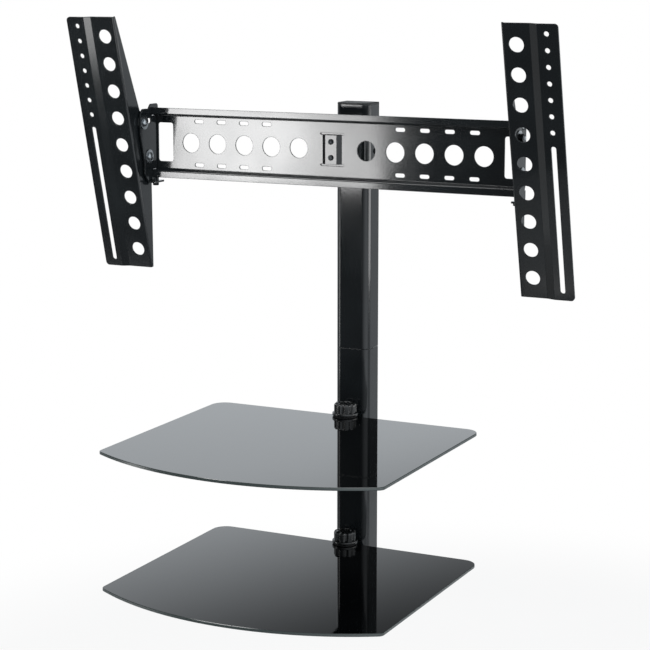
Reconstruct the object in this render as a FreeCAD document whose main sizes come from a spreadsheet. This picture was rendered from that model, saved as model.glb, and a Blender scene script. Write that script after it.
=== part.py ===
import FreeCAD, Part
import math
import os
from types import SimpleNamespace

import Sketcher

os.makedirs("parts", exist_ok=True)
doc = FreeCAD.newDocument("wall_media_column")
sheet = doc.addObject("Spreadsheet::Sheet", "size")

# Driving sizes in millimetres and degrees.
# The wall is the plane Y = 0, the front is -Y, and Z = 0 is the middle of the crossbar.
SIZES = (
    ("column_width", 60, "column, side to side"),
    ("column_depth", 42, "column, wall to front face"),
    ("column_wall", 2, "sheet of the column"),
    ("column_corner", 12, "outer radius of the front corners"),
    ("column_tail", 4.5, "free length between the lowest nut plate and the bottom cap"),
    ("seam_gap", 0.6, "joint line between the halves"),
    ("cap_head", 3, "plate of an end cap"),
    ("cap_skirt", 12, "plug of an end cap"),
    ("cap_wall", 2, "wall of the plug"),
    ("cap_round", 1.5, "rounded rim of a cap"),
    ("slip_gap", 0.3, "clearance of pieces nested in the column"),
    ("sleeve_length", 120, "joint sleeve behind the seam"),
    ("sleeve_wall", 2, "sheet of the sleeve"),
    ("sleeve_depth", 26, "sleeve, front to back"),
    ("wall_plate_sheet", 3, "sheet of a wall plate"),
    ("wall_plate_height", 106, "wall plate, top to bottom"),
    ("wall_plate_side", 24, "side flange of a wall plate"),
    ("plate_gap", 2, "free length between a wall plate and an end cap"),
    ("wall_hole_span", 28, "wall holes, side to side"),
    ("wall_hole_rise", 76, "wall holes, top to bottom"),
    ("wall_hole_radius", 3.5, "wall hole"),
    ("side_screw_pitch", 20, "side screws of one plate"),
    ("side_screw_depth", 13, "side screws in front of the wall"),
    ("side_screw_drop", 35, "lower side screws below the lower plate's middle"),
    ("side_screw_radius", 2.5, "side screw shank"),
    ("side_screw_head", 4.75, "side screw head radius"),
    ("side_screw_rise", 2.6, "side screw head height"),
    ("side_screw_tail", 2, "side screw beyond the wall plate's flange"),
    ("running_gap", 0.05, "radial play of turning and threaded pieces"),
    ("bolt_gap", 0.25, "radial play of a bolt in its hole"),
    ("bolt_tail", 1, "bolt beyond its threaded plate"),
    ("thread_bevel", 1, "bevelled end of a threaded piece"),
    ("bar_stand_off", 73, "column front to the crossbar web"),
    ("swivel_reach", 36, "column front to the swivel axis"),
    ("base_width", 50, "swivel base, side to side"),
    ("base_height", 92, "swivel base, top to bottom"),
    ("base_sheet", 4, "sheet of the swivel base"),
    ("ear_end", 14, "ear beyond the swivel axis"),
    ("ear_round", 16, "rounded ear corners"),
    ("bend_inside", 2, "inner bend radius of the swivel pieces"),
    ("pin_radius", 6, "swivel pin"),
    ("pin_head", 10.5, "swivel pin head radius"),
    ("pin_head_rise", 5, "swivel pin head height"),
    ("pin_head_bevel", 2, "bevelled rim of the pin head"),
    ("pin_washer", 12, "pin washer radius"),
    ("pin_nut_width", 19, "pin nut across flats"),
    ("pin_nut_rise", 9, "pin nut height"),
    ("pin_tail", 2, "pin beyond its nut"),
    ("friction_disc", 4, "swivel friction washer thickness"),
    ("friction_radius", 13, "swivel friction washer radius"),
    ("knuckle_width", 44, "swivel knuckle, side to side"),
    ("knuckle_sheet", 4, "sheet of the knuckle"),
    ("head_bolt_span", 20, "head bolts, side to side"),
    ("head_bolt_rise", 50, "head bolts, top to bottom"),
    ("head_bolt_radius", 4, "head bolt shank"),
    ("head_bolt_width", 13, "head bolt across flats"),
    ("head_bolt_head", 5.3, "head bolt head height"),
    ("backing_sheet", 6, "backing plate thickness"),
    ("backing_height", 78, "backing plate, top to bottom"),
    ("backing_round", 4, "rounded corners of the backing plate"),
    ("washer_sheet", 1.6, "steel washer thickness"),
    ("head_washer", 8, "head bolt washer radius"),
    ("bar_length", 656, "crossbar, end to end"),
    ("bar_height", 116, "crossbar, lip to lip"),
    ("bar_sheet", 2, "sheet of the crossbar"),
    ("bar_channel", 90, "clear height between the flanges"),
    ("lip_forward", 16, "lip in front of the web"),
    ("bar_bend", 4, "outer bend radius of the crossbar"),
    ("bar_hole_radius", 16, "round holes of the crossbar"),
    ("bar_hole_first", 60, "first round hole from the middle"),
    ("bar_hole_pitch", 50, "round holes, one to the next"),
    ("bar_slot_first", 118.5, "first slot from the middle"),
    ("bar_slot_pitch", 42, "slots, one to the next"),
    ("bar_slot_rise", 36, "slot rows from the crossbar axis"),
    ("bar_slot_length", 17, "slot, end to end"),
    ("bar_slot_radius", 3.2, "half width of a slot"),
    ("window_inner", 294, "inner edge of an end window"),
    ("window_width", 28.5, "end window, side to side"),
    ("window_height", 64.5, "end window, top to bottom"),
    ("window_round", 4, "corner of an end window"),
    ("bridge_flat", 20, "raised face of the lanced bridge"),
    ("bridge_foot", 34, "bridge, foot to foot"),
    ("bridge_rise", 5, "bridge in front of the web"),
    ("bridge_height", 47, "bridge, slit to slit"),
    ("slit_width", 3, "slits above and below the bridge"),
    ("slit_length", 42, "slit, end to end"),
    ("bridge_screw_pitch", 25.5, "bridge screws, one above the other"),
    ("bridge_screw_radius", 2.5, "bridge screw shank"),
    ("bridge_screw_head", 4.5, "bridge screw head radius"),
    ("bridge_screw_rise", 2.5, "bridge screw head height"),
    ("bridge_screw_length", 11, "bridge screw under its head"),
    ("bracket_inset", 3, "inner face of a tilt bracket inside the crossbar's end"),
    ("bracket_sheet", 3, "sheet of a tilt bracket"),
    ("hook_gap", 0.5, "tilt bracket clearance on the crossbar"),
    ("hook_finger", 17, "hook finger behind a lip"),
    ("hook_reach", 9, "hook finger along a lip"),
    ("hook_over", 5.5, "hook beyond the edge of a lip"),
    ("hook_round", 5.5, "rounded corners of the hooks"),
    ("hook_front", 2, "flat top of the upper hook in front of the lip"),
    ("brow_reach", 9, "brow of the tilt bracket in front of the lip"),
    ("brow_drop", 8, "brow below the top of the upper hook"),
    ("cheek_reach", 17, "start of the level top edge in front of the lip"),
    ("cheek_drop", 7, "level top edge below the upper hook"),
    ("bracket_front", 36, "tilt bracket nose in front of the lip"),
    ("nose_slant", 7, "slanted upper corner of the nose, front to back"),
    ("nose_drop", 9, "slanted upper corner of the nose, top to bottom"),
    ("nose_low", 16, "lower end of the nose above the crossbar axis"),
    ("nose_round", 8, "rounded corners of the nose"),
    ("chin_inset", 12, "lower front edge behind the nose"),
    ("chin_drop", 8, "start of the lower front edge below the tilt axis"),
    ("chin_rise", 6, "end of the lower front edge above the lip edge"),
    ("jaw_depth", 30.5, "bottom edge, front to back"),
    ("jaw_drop", 3, "bottom edge below the lower hook"),
    ("pivot_forward", 27, "tilt axis in front of the web"),
    ("pivot_drop", 22.5, "tilt axis below the crossbar axis"),
    ("lock_radius", 59, "tilt axis to lock bolt"),
    ("tilt_rest", 14.2, "tilt shown, top edge forward"),
    ("tilt_back", 5, "tilt stop, top edge backward"),
    ("tilt_front", 15, "tilt stop, top edge forward"),
    ("tilt_bolt_radius", 4, "tilt bolt shank"),
    ("tilt_bolt_width", 13, "tilt bolt and nut across flats"),
    ("tilt_bolt_head", 5.3, "tilt bolt head height"),
    ("tilt_nut_rise", 6.5, "tilt nut height"),
    ("tilt_bolt_tail", 2, "tilt bolt beyond its nut"),
    ("tilt_washer", 11.5, "tilt washer radius"),
    ("tilt_friction", 2, "friction washer between bracket and arm"),
    ("lock_tab", 10, "lock tab under the lower lip"),
    ("lock_tab_depth", 28.5, "lock tab, front to back"),
    ("lock_screw_radius", 3, "lock screw shank"),
    ("lock_screw_head", 5, "lock screw head radius"),
    ("lock_screw_rise", 4.5, "lock screw head height"),
    ("arm_reach", 37.5, "tilt axis to the screen face of the arm"),
    ("arm_above", 247, "arm above the tilt axis"),
    ("arm_below", 186, "arm below the tilt axis"),
    ("arm_sheet", 2.5, "sheet of an arm"),
    ("arm_face", 44, "wide face of an arm"),
    ("arm_joggle", 12, "joggle strip of an arm"),
    ("arm_step", 2.5, "wide face behind the screen face"),
    ("arm_strip", 32.5, "screen strip of an arm"),
    ("arm_corner", 6, "rounded outer corners of an arm"),
    ("arm_bend", 3, "bend of wide face to side flange"),
    ("flange_depth", 49, "side flange at its deepest"),
    ("flange_flat_top", 68, "deep part of the side flange above the tilt axis"),
    ("flange_flat_low", 4, "deep part of the side flange below the tilt axis"),
    ("flange_shoulder", 35, "side flange at the foot of its upper slope"),
    ("flange_shoulder_top", 79, "foot of the upper slope above the tilt axis"),
    ("flange_tip", 5, "side flange at the arm's ends"),
    ("flange_round", 18, "rounded corners of the side flange"),
    ("shoulder_round", 6, "rounded inner corner of the side flange"),
    ("large_hole_radius", 11.75, "large holes of an arm"),
    ("large_hole_pitch", 46, "large holes, one to the next"),
    ("large_hole_inset", 22, "large holes from the inner edge"),
    ("small_hole_radius", 4, "screen screw holes"),
    ("small_hole_pitch", 25, "screen screw holes, one to the next"),
    ("small_hole_inset", 15, "top screw hole below the arm's upper end"),
    ("screen_inset", 18.5, "screen screw line from the outer edge"),
    ("arm_slot_top", 61, "upper end of the long slot above the tilt axis"),
    ("arm_slot_inset", 11, "long slot above the arm's lower end"),
    ("shelf_width", 484, "glass, side to side"),
    ("shelf_rear", 62, "wall to the rear edge of the glass"),
    ("shelf_front", 513.5, "wall to the middle of the bowed front"),
    ("bow_radius", 461, "bowed front edge"),
    ("glass_sheet", 5, "glass thickness"),
    ("glass_rear_round", 25, "rear corners of the glass"),
    ("glass_front_round", 12, "front corners of the glass"),
    ("glass_arris", 0.6, "polished arris"),
    ("upper_shelf_drop", 448, "upper glass below the crossbar axis"),
    ("shelf_spacing", 220.5, "upper glass to lower glass"),
    ("notch_radius", 7, "rear notch of the glass"),
    ("stud_wall", 64.5, "wall to the clamp stud"),
    ("stud_radius", 4, "clamp stud"),
    ("stud_head", 7, "stud head radius"),
    ("stud_head_rise", 3, "stud head height"),
    ("stud_grip", 13, "stud inside the knob"),
    ("bore_spare", 1, "knob bore beyond the stud's tip"),
    ("pad_sheet", 2, "rubber under the glass"),
    ("pad_radius", 11, "support pad"),
    ("pad_span", 250, "front pads, side to side"),
    ("gasket_radius", 19, "clamp gasket under the glass"),
    ("knob_washer", 1.5, "rubber washer under the knob"),
    ("knob_washer_radius", 20, "rubber washer radius"),
    ("knob_flange", 21.5, "knob flange radius"),
    ("knob_flange_rise", 5, "knob flange height"),
    ("knob_grip", 18.6, "fluted grip radius"),
    ("knob_rise", 21, "knob height"),
    ("knob_round", 1.5, "rounded rims of the knob"),
    ("flute_radius", 4.5, "flutes of the knob"),
    ("flute_circle", 20.6, "flute centres from the knob axis"),
    ("tongue_width", 50, "shelf bracket tongue, side to side"),
    ("tongue_length", 285, "shelf bracket tongue from the column"),
    ("shelf_sheet", 3, "sheet of a shelf bracket"),
    ("tee_width", 300, "cross piece of a shelf bracket"),
    ("tee_depth", 34, "cross piece, front to back"),
    ("tee_lip", 10, "folded lip of the cross piece"),
    ("rib_root", 50, "side rib at the column"),
    ("rib_tip", 10, "side rib at the cross piece"),
    ("back_plate_edge", 12, "back plate of a shelf bracket beyond its bolts"),
    ("shelf_bolt_first", 14, "upper bolt below the tongue"),
    ("shelf_bolt_pitch", 24, "bracket bolts, one above the other"),
    ("shelf_bolt_radius", 3, "bracket bolt shank"),
    ("shelf_bolt_width", 10, "bracket bolt across flats"),
    ("shelf_bolt_head", 4, "bracket bolt head height"),
    ("nut_plate_sheet", 5, "nut plate thickness"),
    ("nut_plate_edge", 9, "nut plate beyond its bolts"),
)
ARM_LARGE_HOLES = 9
ARM_SMALL_HOLES = 7
BAR_HOLES = 5
BAR_SLOTS = 4
KNOB_FLUTES = 8


class Dim:
    """A length as a number and as the sheet expression that drives it."""

    def __init__(self, value, text):
        self.value = float(value)
        self.text = text

    def __add__(self, other):
        other = dim(other)
        return Dim(self.value + other.value, f"({self.text} + {other.text})")

    def __radd__(self, other):
        return dim(other) + self

    def __sub__(self, other):
        other = dim(other)
        return Dim(self.value - other.value, f"({self.text} - {other.text})")

    def __rsub__(self, other):
        return dim(other) - self

    def __mul__(self, other):
        other = dim(other)
        return Dim(self.value * other.value, f"({self.text} * {other.text})")

    def __rmul__(self, other):
        return dim(other) * self

    def __truediv__(self, other):
        other = dim(other)
        return Dim(self.value / other.value, f"({self.text} / {other.text})")

    def __neg__(self):
        return Dim(-self.value, f"(0 - {self.text})")


def dim(length):
    """A plain number taken as a length."""
    if isinstance(length, Dim):
        return length
    return Dim(length, f"({float(length):.6f})")


def sine(angle):
    return Dim(math.sin(math.radians(angle.value)), f"sin({angle.text} * 1 deg)")


def cosine(angle):
    return Dim(math.cos(math.radians(angle.value)), f"cos({angle.text} * 1 deg)")


for row, (name, value, note) in enumerate(SIZES, 1):
    sheet.set(f"A{row}", note)
    sheet.set(f"B{row}", str(value))
    sheet.setAlias(f"B{row}", name)
doc.recompute()
sz = SimpleNamespace(**{name: Dim(value, "size." + name) for name, value, note in SIZES})
nodes = []
cuts = []


# Building blocks
def keep(item, label):
    """Make an object a named piece of the assembly."""
    item.Label = label
    nodes.append(item)
    return item


def new_body(name):
    return doc.addObject("PartDesign::Body", name)


def origin_item(body, role):
    return next(item for item in body.Origin.OriginFeatures if item.Role == role)


def bind(item, prop, length):
    """Drive a property from the sheet."""
    item.setExpression(prop, dim(length).text)


def put(item, across=0, depth=0, height=0):
    """Place an object at driven coordinates."""
    bind(item, "Placement.Base.x", across)
    bind(item, "Placement.Base.y", depth)
    bind(item, "Placement.Base.z", height)


def new_sketch(body, plane, offset=0):
    sketch = body.newObject("Sketcher::SketchObject", body.Name + "_sketch")
    sketch.AttachmentSupport = [(origin_item(body, plane), "")]
    sketch.MapMode = "FlatFace"
    bind(sketch, "AttachmentOffset.Base.z", offset)
    return sketch


def drive(sketch, kind, places, length):
    """Add a driven dimension to a sketch."""
    length = dim(length)
    index = sketch.addConstraint(Sketcher.Constraint(kind, *places, length.value))
    sketch.setExpression(f"Constraints[{index}]", length.text)


def fix_point(sketch, curve, end, across, along):
    """Hold a point of a sketch curve at driven coordinates."""
    drive(sketch, "DistanceX", (-1, 1, curve, end), across)
    drive(sketch, "DistanceY", (-1, 1, curve, end), along)


def flat(across, along):
    return FreeCAD.Vector(dim(across).value, dim(along).value, 0)


def add_polygon(sketch, corners):
    """Closed outline through driven corners."""
    first = sketch.GeometryCount
    count = len(corners)
    for i in range(count):
        sketch.addGeometry(Part.LineSegment(flat(*corners[i]), flat(*corners[(i + 1) % count])))
    for i in range(count):
        sketch.addConstraint(Sketcher.Constraint("Coincident", first + i, 2, first + (i + 1) % count, 1))
    for i in range(count):
        fix_point(sketch, first + i, 1, *corners[i])


def add_box(sketch, left, right, low, high):
    add_polygon(sketch, ((left, low), (right, low), (right, high), (left, high)))


def add_circle(sketch, across, along, radius):
    circle = Part.Circle(flat(across, along), FreeCAD.Vector(0, 0, 1), dim(radius).value)
    index = sketch.addGeometry(circle)
    fix_point(sketch, index, 3, across, along)
    drive(sketch, "Radius", (index,), radius)


def add_slot(sketch, start, end, radius):
    """Round ended slot between two end centres."""
    one = flat(*start)
    two = flat(*end)
    size = dim(radius).value
    along = (two - one).normalize()
    side = FreeCAD.Vector(-along.y, along.x, 0) * size
    turn = math.atan2(along.y, along.x)
    up = FreeCAD.Vector(0, 0, 1)
    near_end = Part.ArcOfCircle(Part.Circle(one, up, size), turn + math.pi / 2, turn + 3 * math.pi / 2)
    far_end = Part.ArcOfCircle(Part.Circle(two, up, size), turn - math.pi / 2, turn + math.pi / 2)
    near = sketch.addGeometry(near_end)
    low = sketch.addGeometry(Part.LineSegment(one - side, two - side))
    far = sketch.addGeometry(far_end)
    high = sketch.addGeometry(Part.LineSegment(two + side, one + side))
    for here, there in ((near, low), (low, far), (far, high), (high, near)):
        sketch.addConstraint(Sketcher.Constraint("Tangent", here, 2, there, 1))
    sketch.addConstraint(Sketcher.Constraint("Equal", near, far))
    drive(sketch, "Radius", (far,), radius)
    fix_point(sketch, near, 3, *start)
    fix_point(sketch, far, 3, *end)


def pad(body, sketch, length, flip=False):
    item = body.newObject("PartDesign::Pad", body.Name + "_pad")
    item.Profile = sketch
    item.Reversed = flip
    bind(item, "Length", length)
    return item


def pocket(body, sketch, depth):
    """Cut against the direction that the sketch faces."""
    item = body.newObject("PartDesign::Pocket", body.Name + "_pocket")
    item.Profile = sketch
    bind(item, "Length", depth)
    cuts.append(item)
    return item


def drill(body, plane, offset, depth, holes):
    """Round holes (across, along, radius) from a plane into the piece."""
    sketch = new_sketch(body, plane, offset)
    for hole in holes:
        add_circle(sketch, *hole)
    return pocket(body, sketch, depth)


def lathe(body, plane, corners, axis):
    """Solid of revolution about an axis of the sketch."""
    sketch = new_sketch(body, plane)
    add_polygon(sketch, corners)
    item = body.newObject("PartDesign::Revolution", body.Name + "_turned")
    item.Profile = sketch
    item.ReferenceAxis = (sketch, [axis])
    item.Angle = 360
    return item


def repeat(body, axis, count, length, second=None, second_length=0):
    """Copy the whole piece along one axis, or along two."""
    doc.recompute()
    item = body.newObject("PartDesign::LinearPattern", body.Name + "_row")
    item.TransformMode = "Whole shape"
    item.Direction = (origin_item(body, axis), [""])
    item.Occurrences = count
    bind(item, "Length", length)
    if second:
        item.Direction2 = (origin_item(body, second), [""])
        item.Occurrences2 = 2
        bind(item, "Length2", second_length)
    body.Tip = item
    return item


def add_hexagon(sketch, width):
    """Hexagon about the sketch origin, given across its flats."""
    corner = width / math.sqrt(3)
    turns = [math.radians(60 * k) for k in range(6)]
    add_polygon(sketch, [(corner * math.cos(turn), corner * math.sin(turn)) for turn in turns])


CROSS_AXES = {"x": "yz", "y": "xz", "z": "xy"}


def straight_edges(shape, axis, places):
    """Names of the edges along an axis that pass through the given places."""
    one, two = CROSS_AXES[axis]
    names = []
    for number, edge in enumerate(shape.Edges, 1):
        points = [vertex.Point for vertex in edge.Vertexes]
        for a, b in places:
            a = dim(a).value
            b = dim(b).value
            if all(abs(getattr(p, one) - a) < 0.01 and abs(getattr(p, two) - b) < 0.01 for p in points):
                names.append(f"Edge{number}")
    return names


def level_edges(shape, height, skip_wall=True):
    """Names of the edges that lie at one height, without those on the wall."""
    names = []
    for number, edge in enumerate(shape.Edges, 1):
        box = edge.BoundBox
        level = abs(box.ZMin - height.value) < 0.01 and abs(box.ZMax - height.value) < 0.01
        on_wall = skip_wall and box.YMin > -0.01
        if level and not on_wall:
            names.append(f"Edge{number}")
    return names


def soften(body, names, radius, kind="PartDesign::Fillet"):
    """Round or bevel named edges of the piece as it is now."""
    base = body.Tip
    item = body.newObject(kind, body.Name + "_edge")
    item.Base = (base, names)
    bind(item, "Radius" if kind == "PartDesign::Fillet" else "Size", radius)
    doc.recompute()
    return item


def round_edges(body, axis, places, radius):
    doc.recompute()
    return soften(body, straight_edges(body.Tip.Shape, axis, places), radius)


def mirrored(source, label):
    """The same piece on the other side of the middle plane."""
    item = doc.addObject("Part::Mirroring", label)
    item.Source = source
    item.Normal = (1, 0, 0)
    return keep(item, label)


def both_sides(source, label):
    """A group of a piece and its mirror image."""
    other = doc.addObject("Part::Mirroring", label + "_other_side")
    other.Source = source
    other.Normal = (1, 0, 0)
    group = doc.addObject("Part::Compound", label)
    group.Links = [source, other]
    return keep(group, label)


def group(items, label):
    item = doc.addObject("Part::Compound", label)
    item.Links = items
    return keep(item, label)


# Shared places
half = sz.column_width / 2
inside = half - sz.column_wall
front = -sz.column_depth
inner_front = front + sz.column_wall
flat_half = half - sz.column_corner - sz.slip_gap
web = front - sz.bar_stand_off
web_back = web + sz.bar_sheet
lip = web - sz.lip_forward
swivel_y = front - sz.swivel_reach
bracket_inner = sz.bar_length / 2 - sz.bracket_inset
pivot_y = web - sz.pivot_forward
pivot_z = -sz.pivot_drop
glass_tops = (-sz.upper_shelf_drop, -sz.upper_shelf_drop - sz.shelf_spacing)
tongue_drop = sz.glass_sheet + sz.pad_sheet
bolt_drops = (tongue_drop + sz.shelf_sheet + sz.shelf_bolt_first,
              tongue_drop + sz.shelf_sheet + sz.shelf_bolt_first + sz.shelf_bolt_pitch)
column_top = sz.wall_plate_height / 2 + sz.plate_gap + sz.cap_skirt
foot = glass_tops[1] - bolt_drops[1] - sz.nut_plate_edge - sz.column_tail - sz.cap_skirt
section_length = (column_top - foot) / 2
seam = column_top - section_length
plate_levels = (dim(0), foot + sz.cap_skirt + sz.plate_gap + sz.wall_plate_height / 2)
side_levels = (dim(0), plate_levels[1] - sz.side_screw_drop)
head_spots = [(sz.head_bolt_span * a / 2, sz.head_bolt_rise * b / 2) for a in (-1, 1) for b in (-1, 1)]


# Column halves: channel with rounded front corners, open to the wall as a cable duct
def column_half(label, bottom, length, front_holes, side_level):
    body = new_body(label)
    sketch = new_sketch(body, "XY_Plane", bottom)
    add_polygon(sketch, ((-half, 0), (-half, front), (half, front), (half, 0),
                         (inside, 0), (inside, inner_front), (-inside, inner_front), (-inside, 0)))
    pad(body, sketch, length)
    round_edges(body, "z", ((-inside, inner_front), (inside, inner_front)), sz.column_corner - sz.column_wall)
    round_edges(body, "z", ((-half, front), (half, front)), sz.column_corner)
    drill(body, "XZ_Plane", sz.column_depth + 1, sz.column_wall + 2, front_holes)
    side_hole = sz.side_screw_radius + sz.bolt_gap
    drill(body, "YZ_Plane", half + 1, sz.column_width + 2,
          [(-sz.side_screw_depth, side_level + sz.side_screw_pitch * k / 2, side_hole) for k in (-1, 1)])
    return keep(body, label)


column_half("column_upper", seam, section_length,
            [(x, z, sz.head_bolt_radius + sz.bolt_gap) for x, z in head_spots], side_levels[0])
column_half("column_lower", foot, section_length - sz.seam_gap,
            [(0, top - drop, sz.shelf_bolt_radius + sz.bolt_gap)
             for top in glass_tops for drop in bolt_drops],
            side_levels[1])


# Joint sleeve: spans the seam inside the column
def joint_sleeve():
    body = new_body("column_joint_sleeve")
    outer = inside - sz.slip_gap
    bore = outer - sz.sleeve_wall
    back = inner_front + sz.sleeve_wall
    end = inner_front + sz.sleeve_depth
    sketch = new_sketch(body, "XY_Plane", seam - sz.seam_gap / 2 - sz.sleeve_length / 2)
    add_polygon(sketch, ((-outer, end), (-outer, inner_front), (outer, inner_front), (outer, end),
                         (bore, end), (bore, back), (-bore, back), (-bore, end)))
    pad(body, sketch, sz.sleeve_length)
    round_edges(body, "z", ((-bore, back), (bore, back)), sz.column_corner - sz.sleeve_wall)
    round_edges(body, "z", ((-outer, inner_front), (outer, inner_front)), sz.column_corner)
    keep(body, "column_joint_sleeve")


joint_sleeve()


# End caps: flat head on the column's end and a plug inside it
def end_cap(label, level, downward):
    body = new_body(label)
    head = new_sketch(body, "XY_Plane", level)
    add_box(head, -half, half, front, 0)
    pad(body, head, sz.cap_head, downward)
    outer = inside - sz.slip_gap
    bore = outer - sz.cap_wall
    start = inner_front + sz.slip_gap
    back = start + sz.cap_wall
    plug = new_sketch(body, "XY_Plane", level)
    add_polygon(plug, ((-outer, -sz.cap_wall), (-outer, start), (outer, start), (outer, -sz.cap_wall),
                       (bore, -sz.cap_wall), (bore, back), (-bore, back), (-bore, -sz.cap_wall)))
    pad(body, plug, sz.cap_skirt, not downward)
    round_edges(body, "z", ((-bore, back), (bore, back)), sz.column_corner - sz.cap_wall)
    round_edges(body, "z", ((-outer, start), (outer, start)), sz.column_corner)
    round_edges(body, "z", ((-half, front), (half, front)), sz.column_corner)
    rim = level - sz.cap_head if downward else level + sz.cap_head
    soften(body, level_edges(body.Tip.Shape, rim), sz.cap_round)
    keep(body, label)


end_cap("column_top_cap", column_top, False)
end_cap("column_bottom_cap", foot, True)


# Wall plates: channels screwed to the wall, their flanges inside the column
def wall_plate(label, level, side_level):
    body = new_body(label)
    outer = inside - sz.running_gap
    bore = outer - sz.wall_plate_sheet
    sketch = new_sketch(body, "XY_Plane", level - sz.wall_plate_height / 2)
    add_polygon(sketch, ((-outer, 0), (-outer, -sz.wall_plate_side), (-bore, -sz.wall_plate_side),
                         (-bore, -sz.wall_plate_sheet), (bore, -sz.wall_plate_sheet),
                         (bore, -sz.wall_plate_side), (outer, -sz.wall_plate_side), (outer, 0)))
    pad(body, sketch, sz.wall_plate_height)
    round_edges(body, "z", ((-outer, 0), (outer, 0)), sz.wall_plate_sheet)
    holes = [(sz.wall_hole_span * a / 2, level + sz.wall_hole_rise * b / 2, sz.wall_hole_radius)
             for a in (-1, 1) for b in (-1, 1)]
    drill(body, "XZ_Plane", sz.wall_plate_sheet + 1, sz.wall_plate_sheet + 2, holes)
    thread = sz.side_screw_radius + sz.running_gap
    drill(body, "YZ_Plane", half + 1, sz.column_width + 2,
          [(-sz.side_screw_depth, side_level + sz.side_screw_pitch * k / 2, thread) for k in (-1, 1)])
    keep(body, label)


wall_plate("wall_plate_upper", plate_levels[0], side_levels[0])
wall_plate("wall_plate_lower", plate_levels[1], side_levels[1])


# Side screws: button heads through the column sides into the wall plates
def side_screws():
    body = new_body("side_screws_right")
    tail = inside - sz.wall_plate_sheet - sz.side_screw_tail
    socket = sz.side_screw_head / 3
    top = half + sz.side_screw_rise
    lathe(body, "XZ_Plane", ((tail, 0), (tail, sz.side_screw_radius), (half, sz.side_screw_radius),
                             (half, sz.side_screw_head), (half + sz.side_screw_rise / 3, sz.side_screw_head),
                             (top, socket * 2), (top, socket), (half + sz.side_screw_rise / 3, socket),
                             (half + sz.side_screw_rise / 3, 0)), "H_Axis")
    repeat(body, "Z_Axis", 2, sz.side_screw_pitch, "Z_Axis", side_levels[0] - side_levels[1])
    put(body, 0, -sz.side_screw_depth, side_levels[1] - sz.side_screw_pitch / 2)
    both_sides(body, "column_side_screws")


side_screws()


# Swivel base: folded steel bracket with two ears, bolted to the column front
def swivel_base():
    body = new_body("swivel_base")
    top = sz.base_height / 2
    bore = top - sz.base_sheet
    face = front - sz.base_sheet
    nose = swivel_y - sz.ear_end
    wide = sz.base_width / 2
    sketch = new_sketch(body, "YZ_Plane", -wide)
    add_polygon(sketch, ((front, -top), (front, top), (nose, top), (nose, bore),
                         (face, bore), (face, -bore), (nose, -bore), (nose, -top)))
    pad(body, sketch, sz.base_width)
    round_edges(body, "x", ((face, bore), (face, -bore)), sz.bend_inside)
    round_edges(body, "x", ((front, top), (front, -top)), sz.bend_inside + sz.base_sheet)
    round_edges(body, "z", ((-wide, nose), (wide, nose)), sz.ear_round)
    drill(body, "XY_Plane", top + 1, sz.base_height + 2, [(0, swivel_y, sz.pin_radius + sz.running_gap)])
    drill(body, "XZ_Plane", sz.column_depth + sz.base_sheet + 1, sz.base_sheet + 2,
          [(x, z, sz.head_bolt_radius + sz.bolt_gap) for x, z in head_spots])
    keep(body, "swivel_base")


swivel_base()


# Backing plate: threaded plate inside the column behind the swivel base
def backing_plate():
    body = new_body("head_backing_plate")
    sketch = new_sketch(body, "XZ_Plane", -inner_front)
    tall = sz.backing_height / 2
    add_box(sketch, -flat_half, flat_half, -tall, tall)
    pad(body, sketch, sz.backing_sheet, True)
    round_edges(body, "y", [(x, z) for x in (-flat_half, flat_half) for z in (-tall, tall)], sz.backing_round)
    drill(body, "XZ_Plane", -inner_front + 1, sz.backing_sheet + 2,
          [(x, z, sz.head_bolt_radius + sz.running_gap) for x, z in head_spots])
    keep(body, "head_backing_plate")


backing_plate()


# Bolts and washers along Y: head in front, shank towards the wall
def bolt_row(name, width, head, radius, length, seat):
    body = new_body(name)
    hexagon = new_sketch(body, "XZ_Plane", -seat)
    add_hexagon(hexagon, width)
    pad(body, hexagon, head)
    shank = new_sketch(body, "XZ_Plane", -seat)
    add_circle(shank, 0, 0, radius)
    pad(body, shank, length, True)
    return body


def ring(name, plane, offset, outer, bore, thickness, flip=False):
    body = new_body(name)
    sketch = new_sketch(body, plane, offset)
    add_circle(sketch, 0, 0, outer)
    add_circle(sketch, 0, 0, bore)
    pad(body, sketch, thickness, flip)
    return body


base_face = front - sz.base_sheet
bolt_seat = base_face - sz.washer_sheet
head_bolts = bolt_row("head_bolts", sz.head_bolt_width, sz.head_bolt_head, sz.head_bolt_radius,
                      inner_front + sz.backing_sheet - bolt_seat + sz.bolt_tail, bolt_seat)
head_washers = ring("head_bolt_washers", "XZ_Plane", -base_face, sz.head_washer,
                    sz.head_bolt_radius + sz.bolt_gap, sz.washer_sheet)
for item in (head_bolts, head_washers):
    repeat(item, "X_Axis", 2, sz.head_bolt_span, "Z_Axis", sz.head_bolt_rise)
    put(item, -sz.head_bolt_span / 2, 0, -sz.head_bolt_rise / 2)
    keep(item, item.Name)


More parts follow.
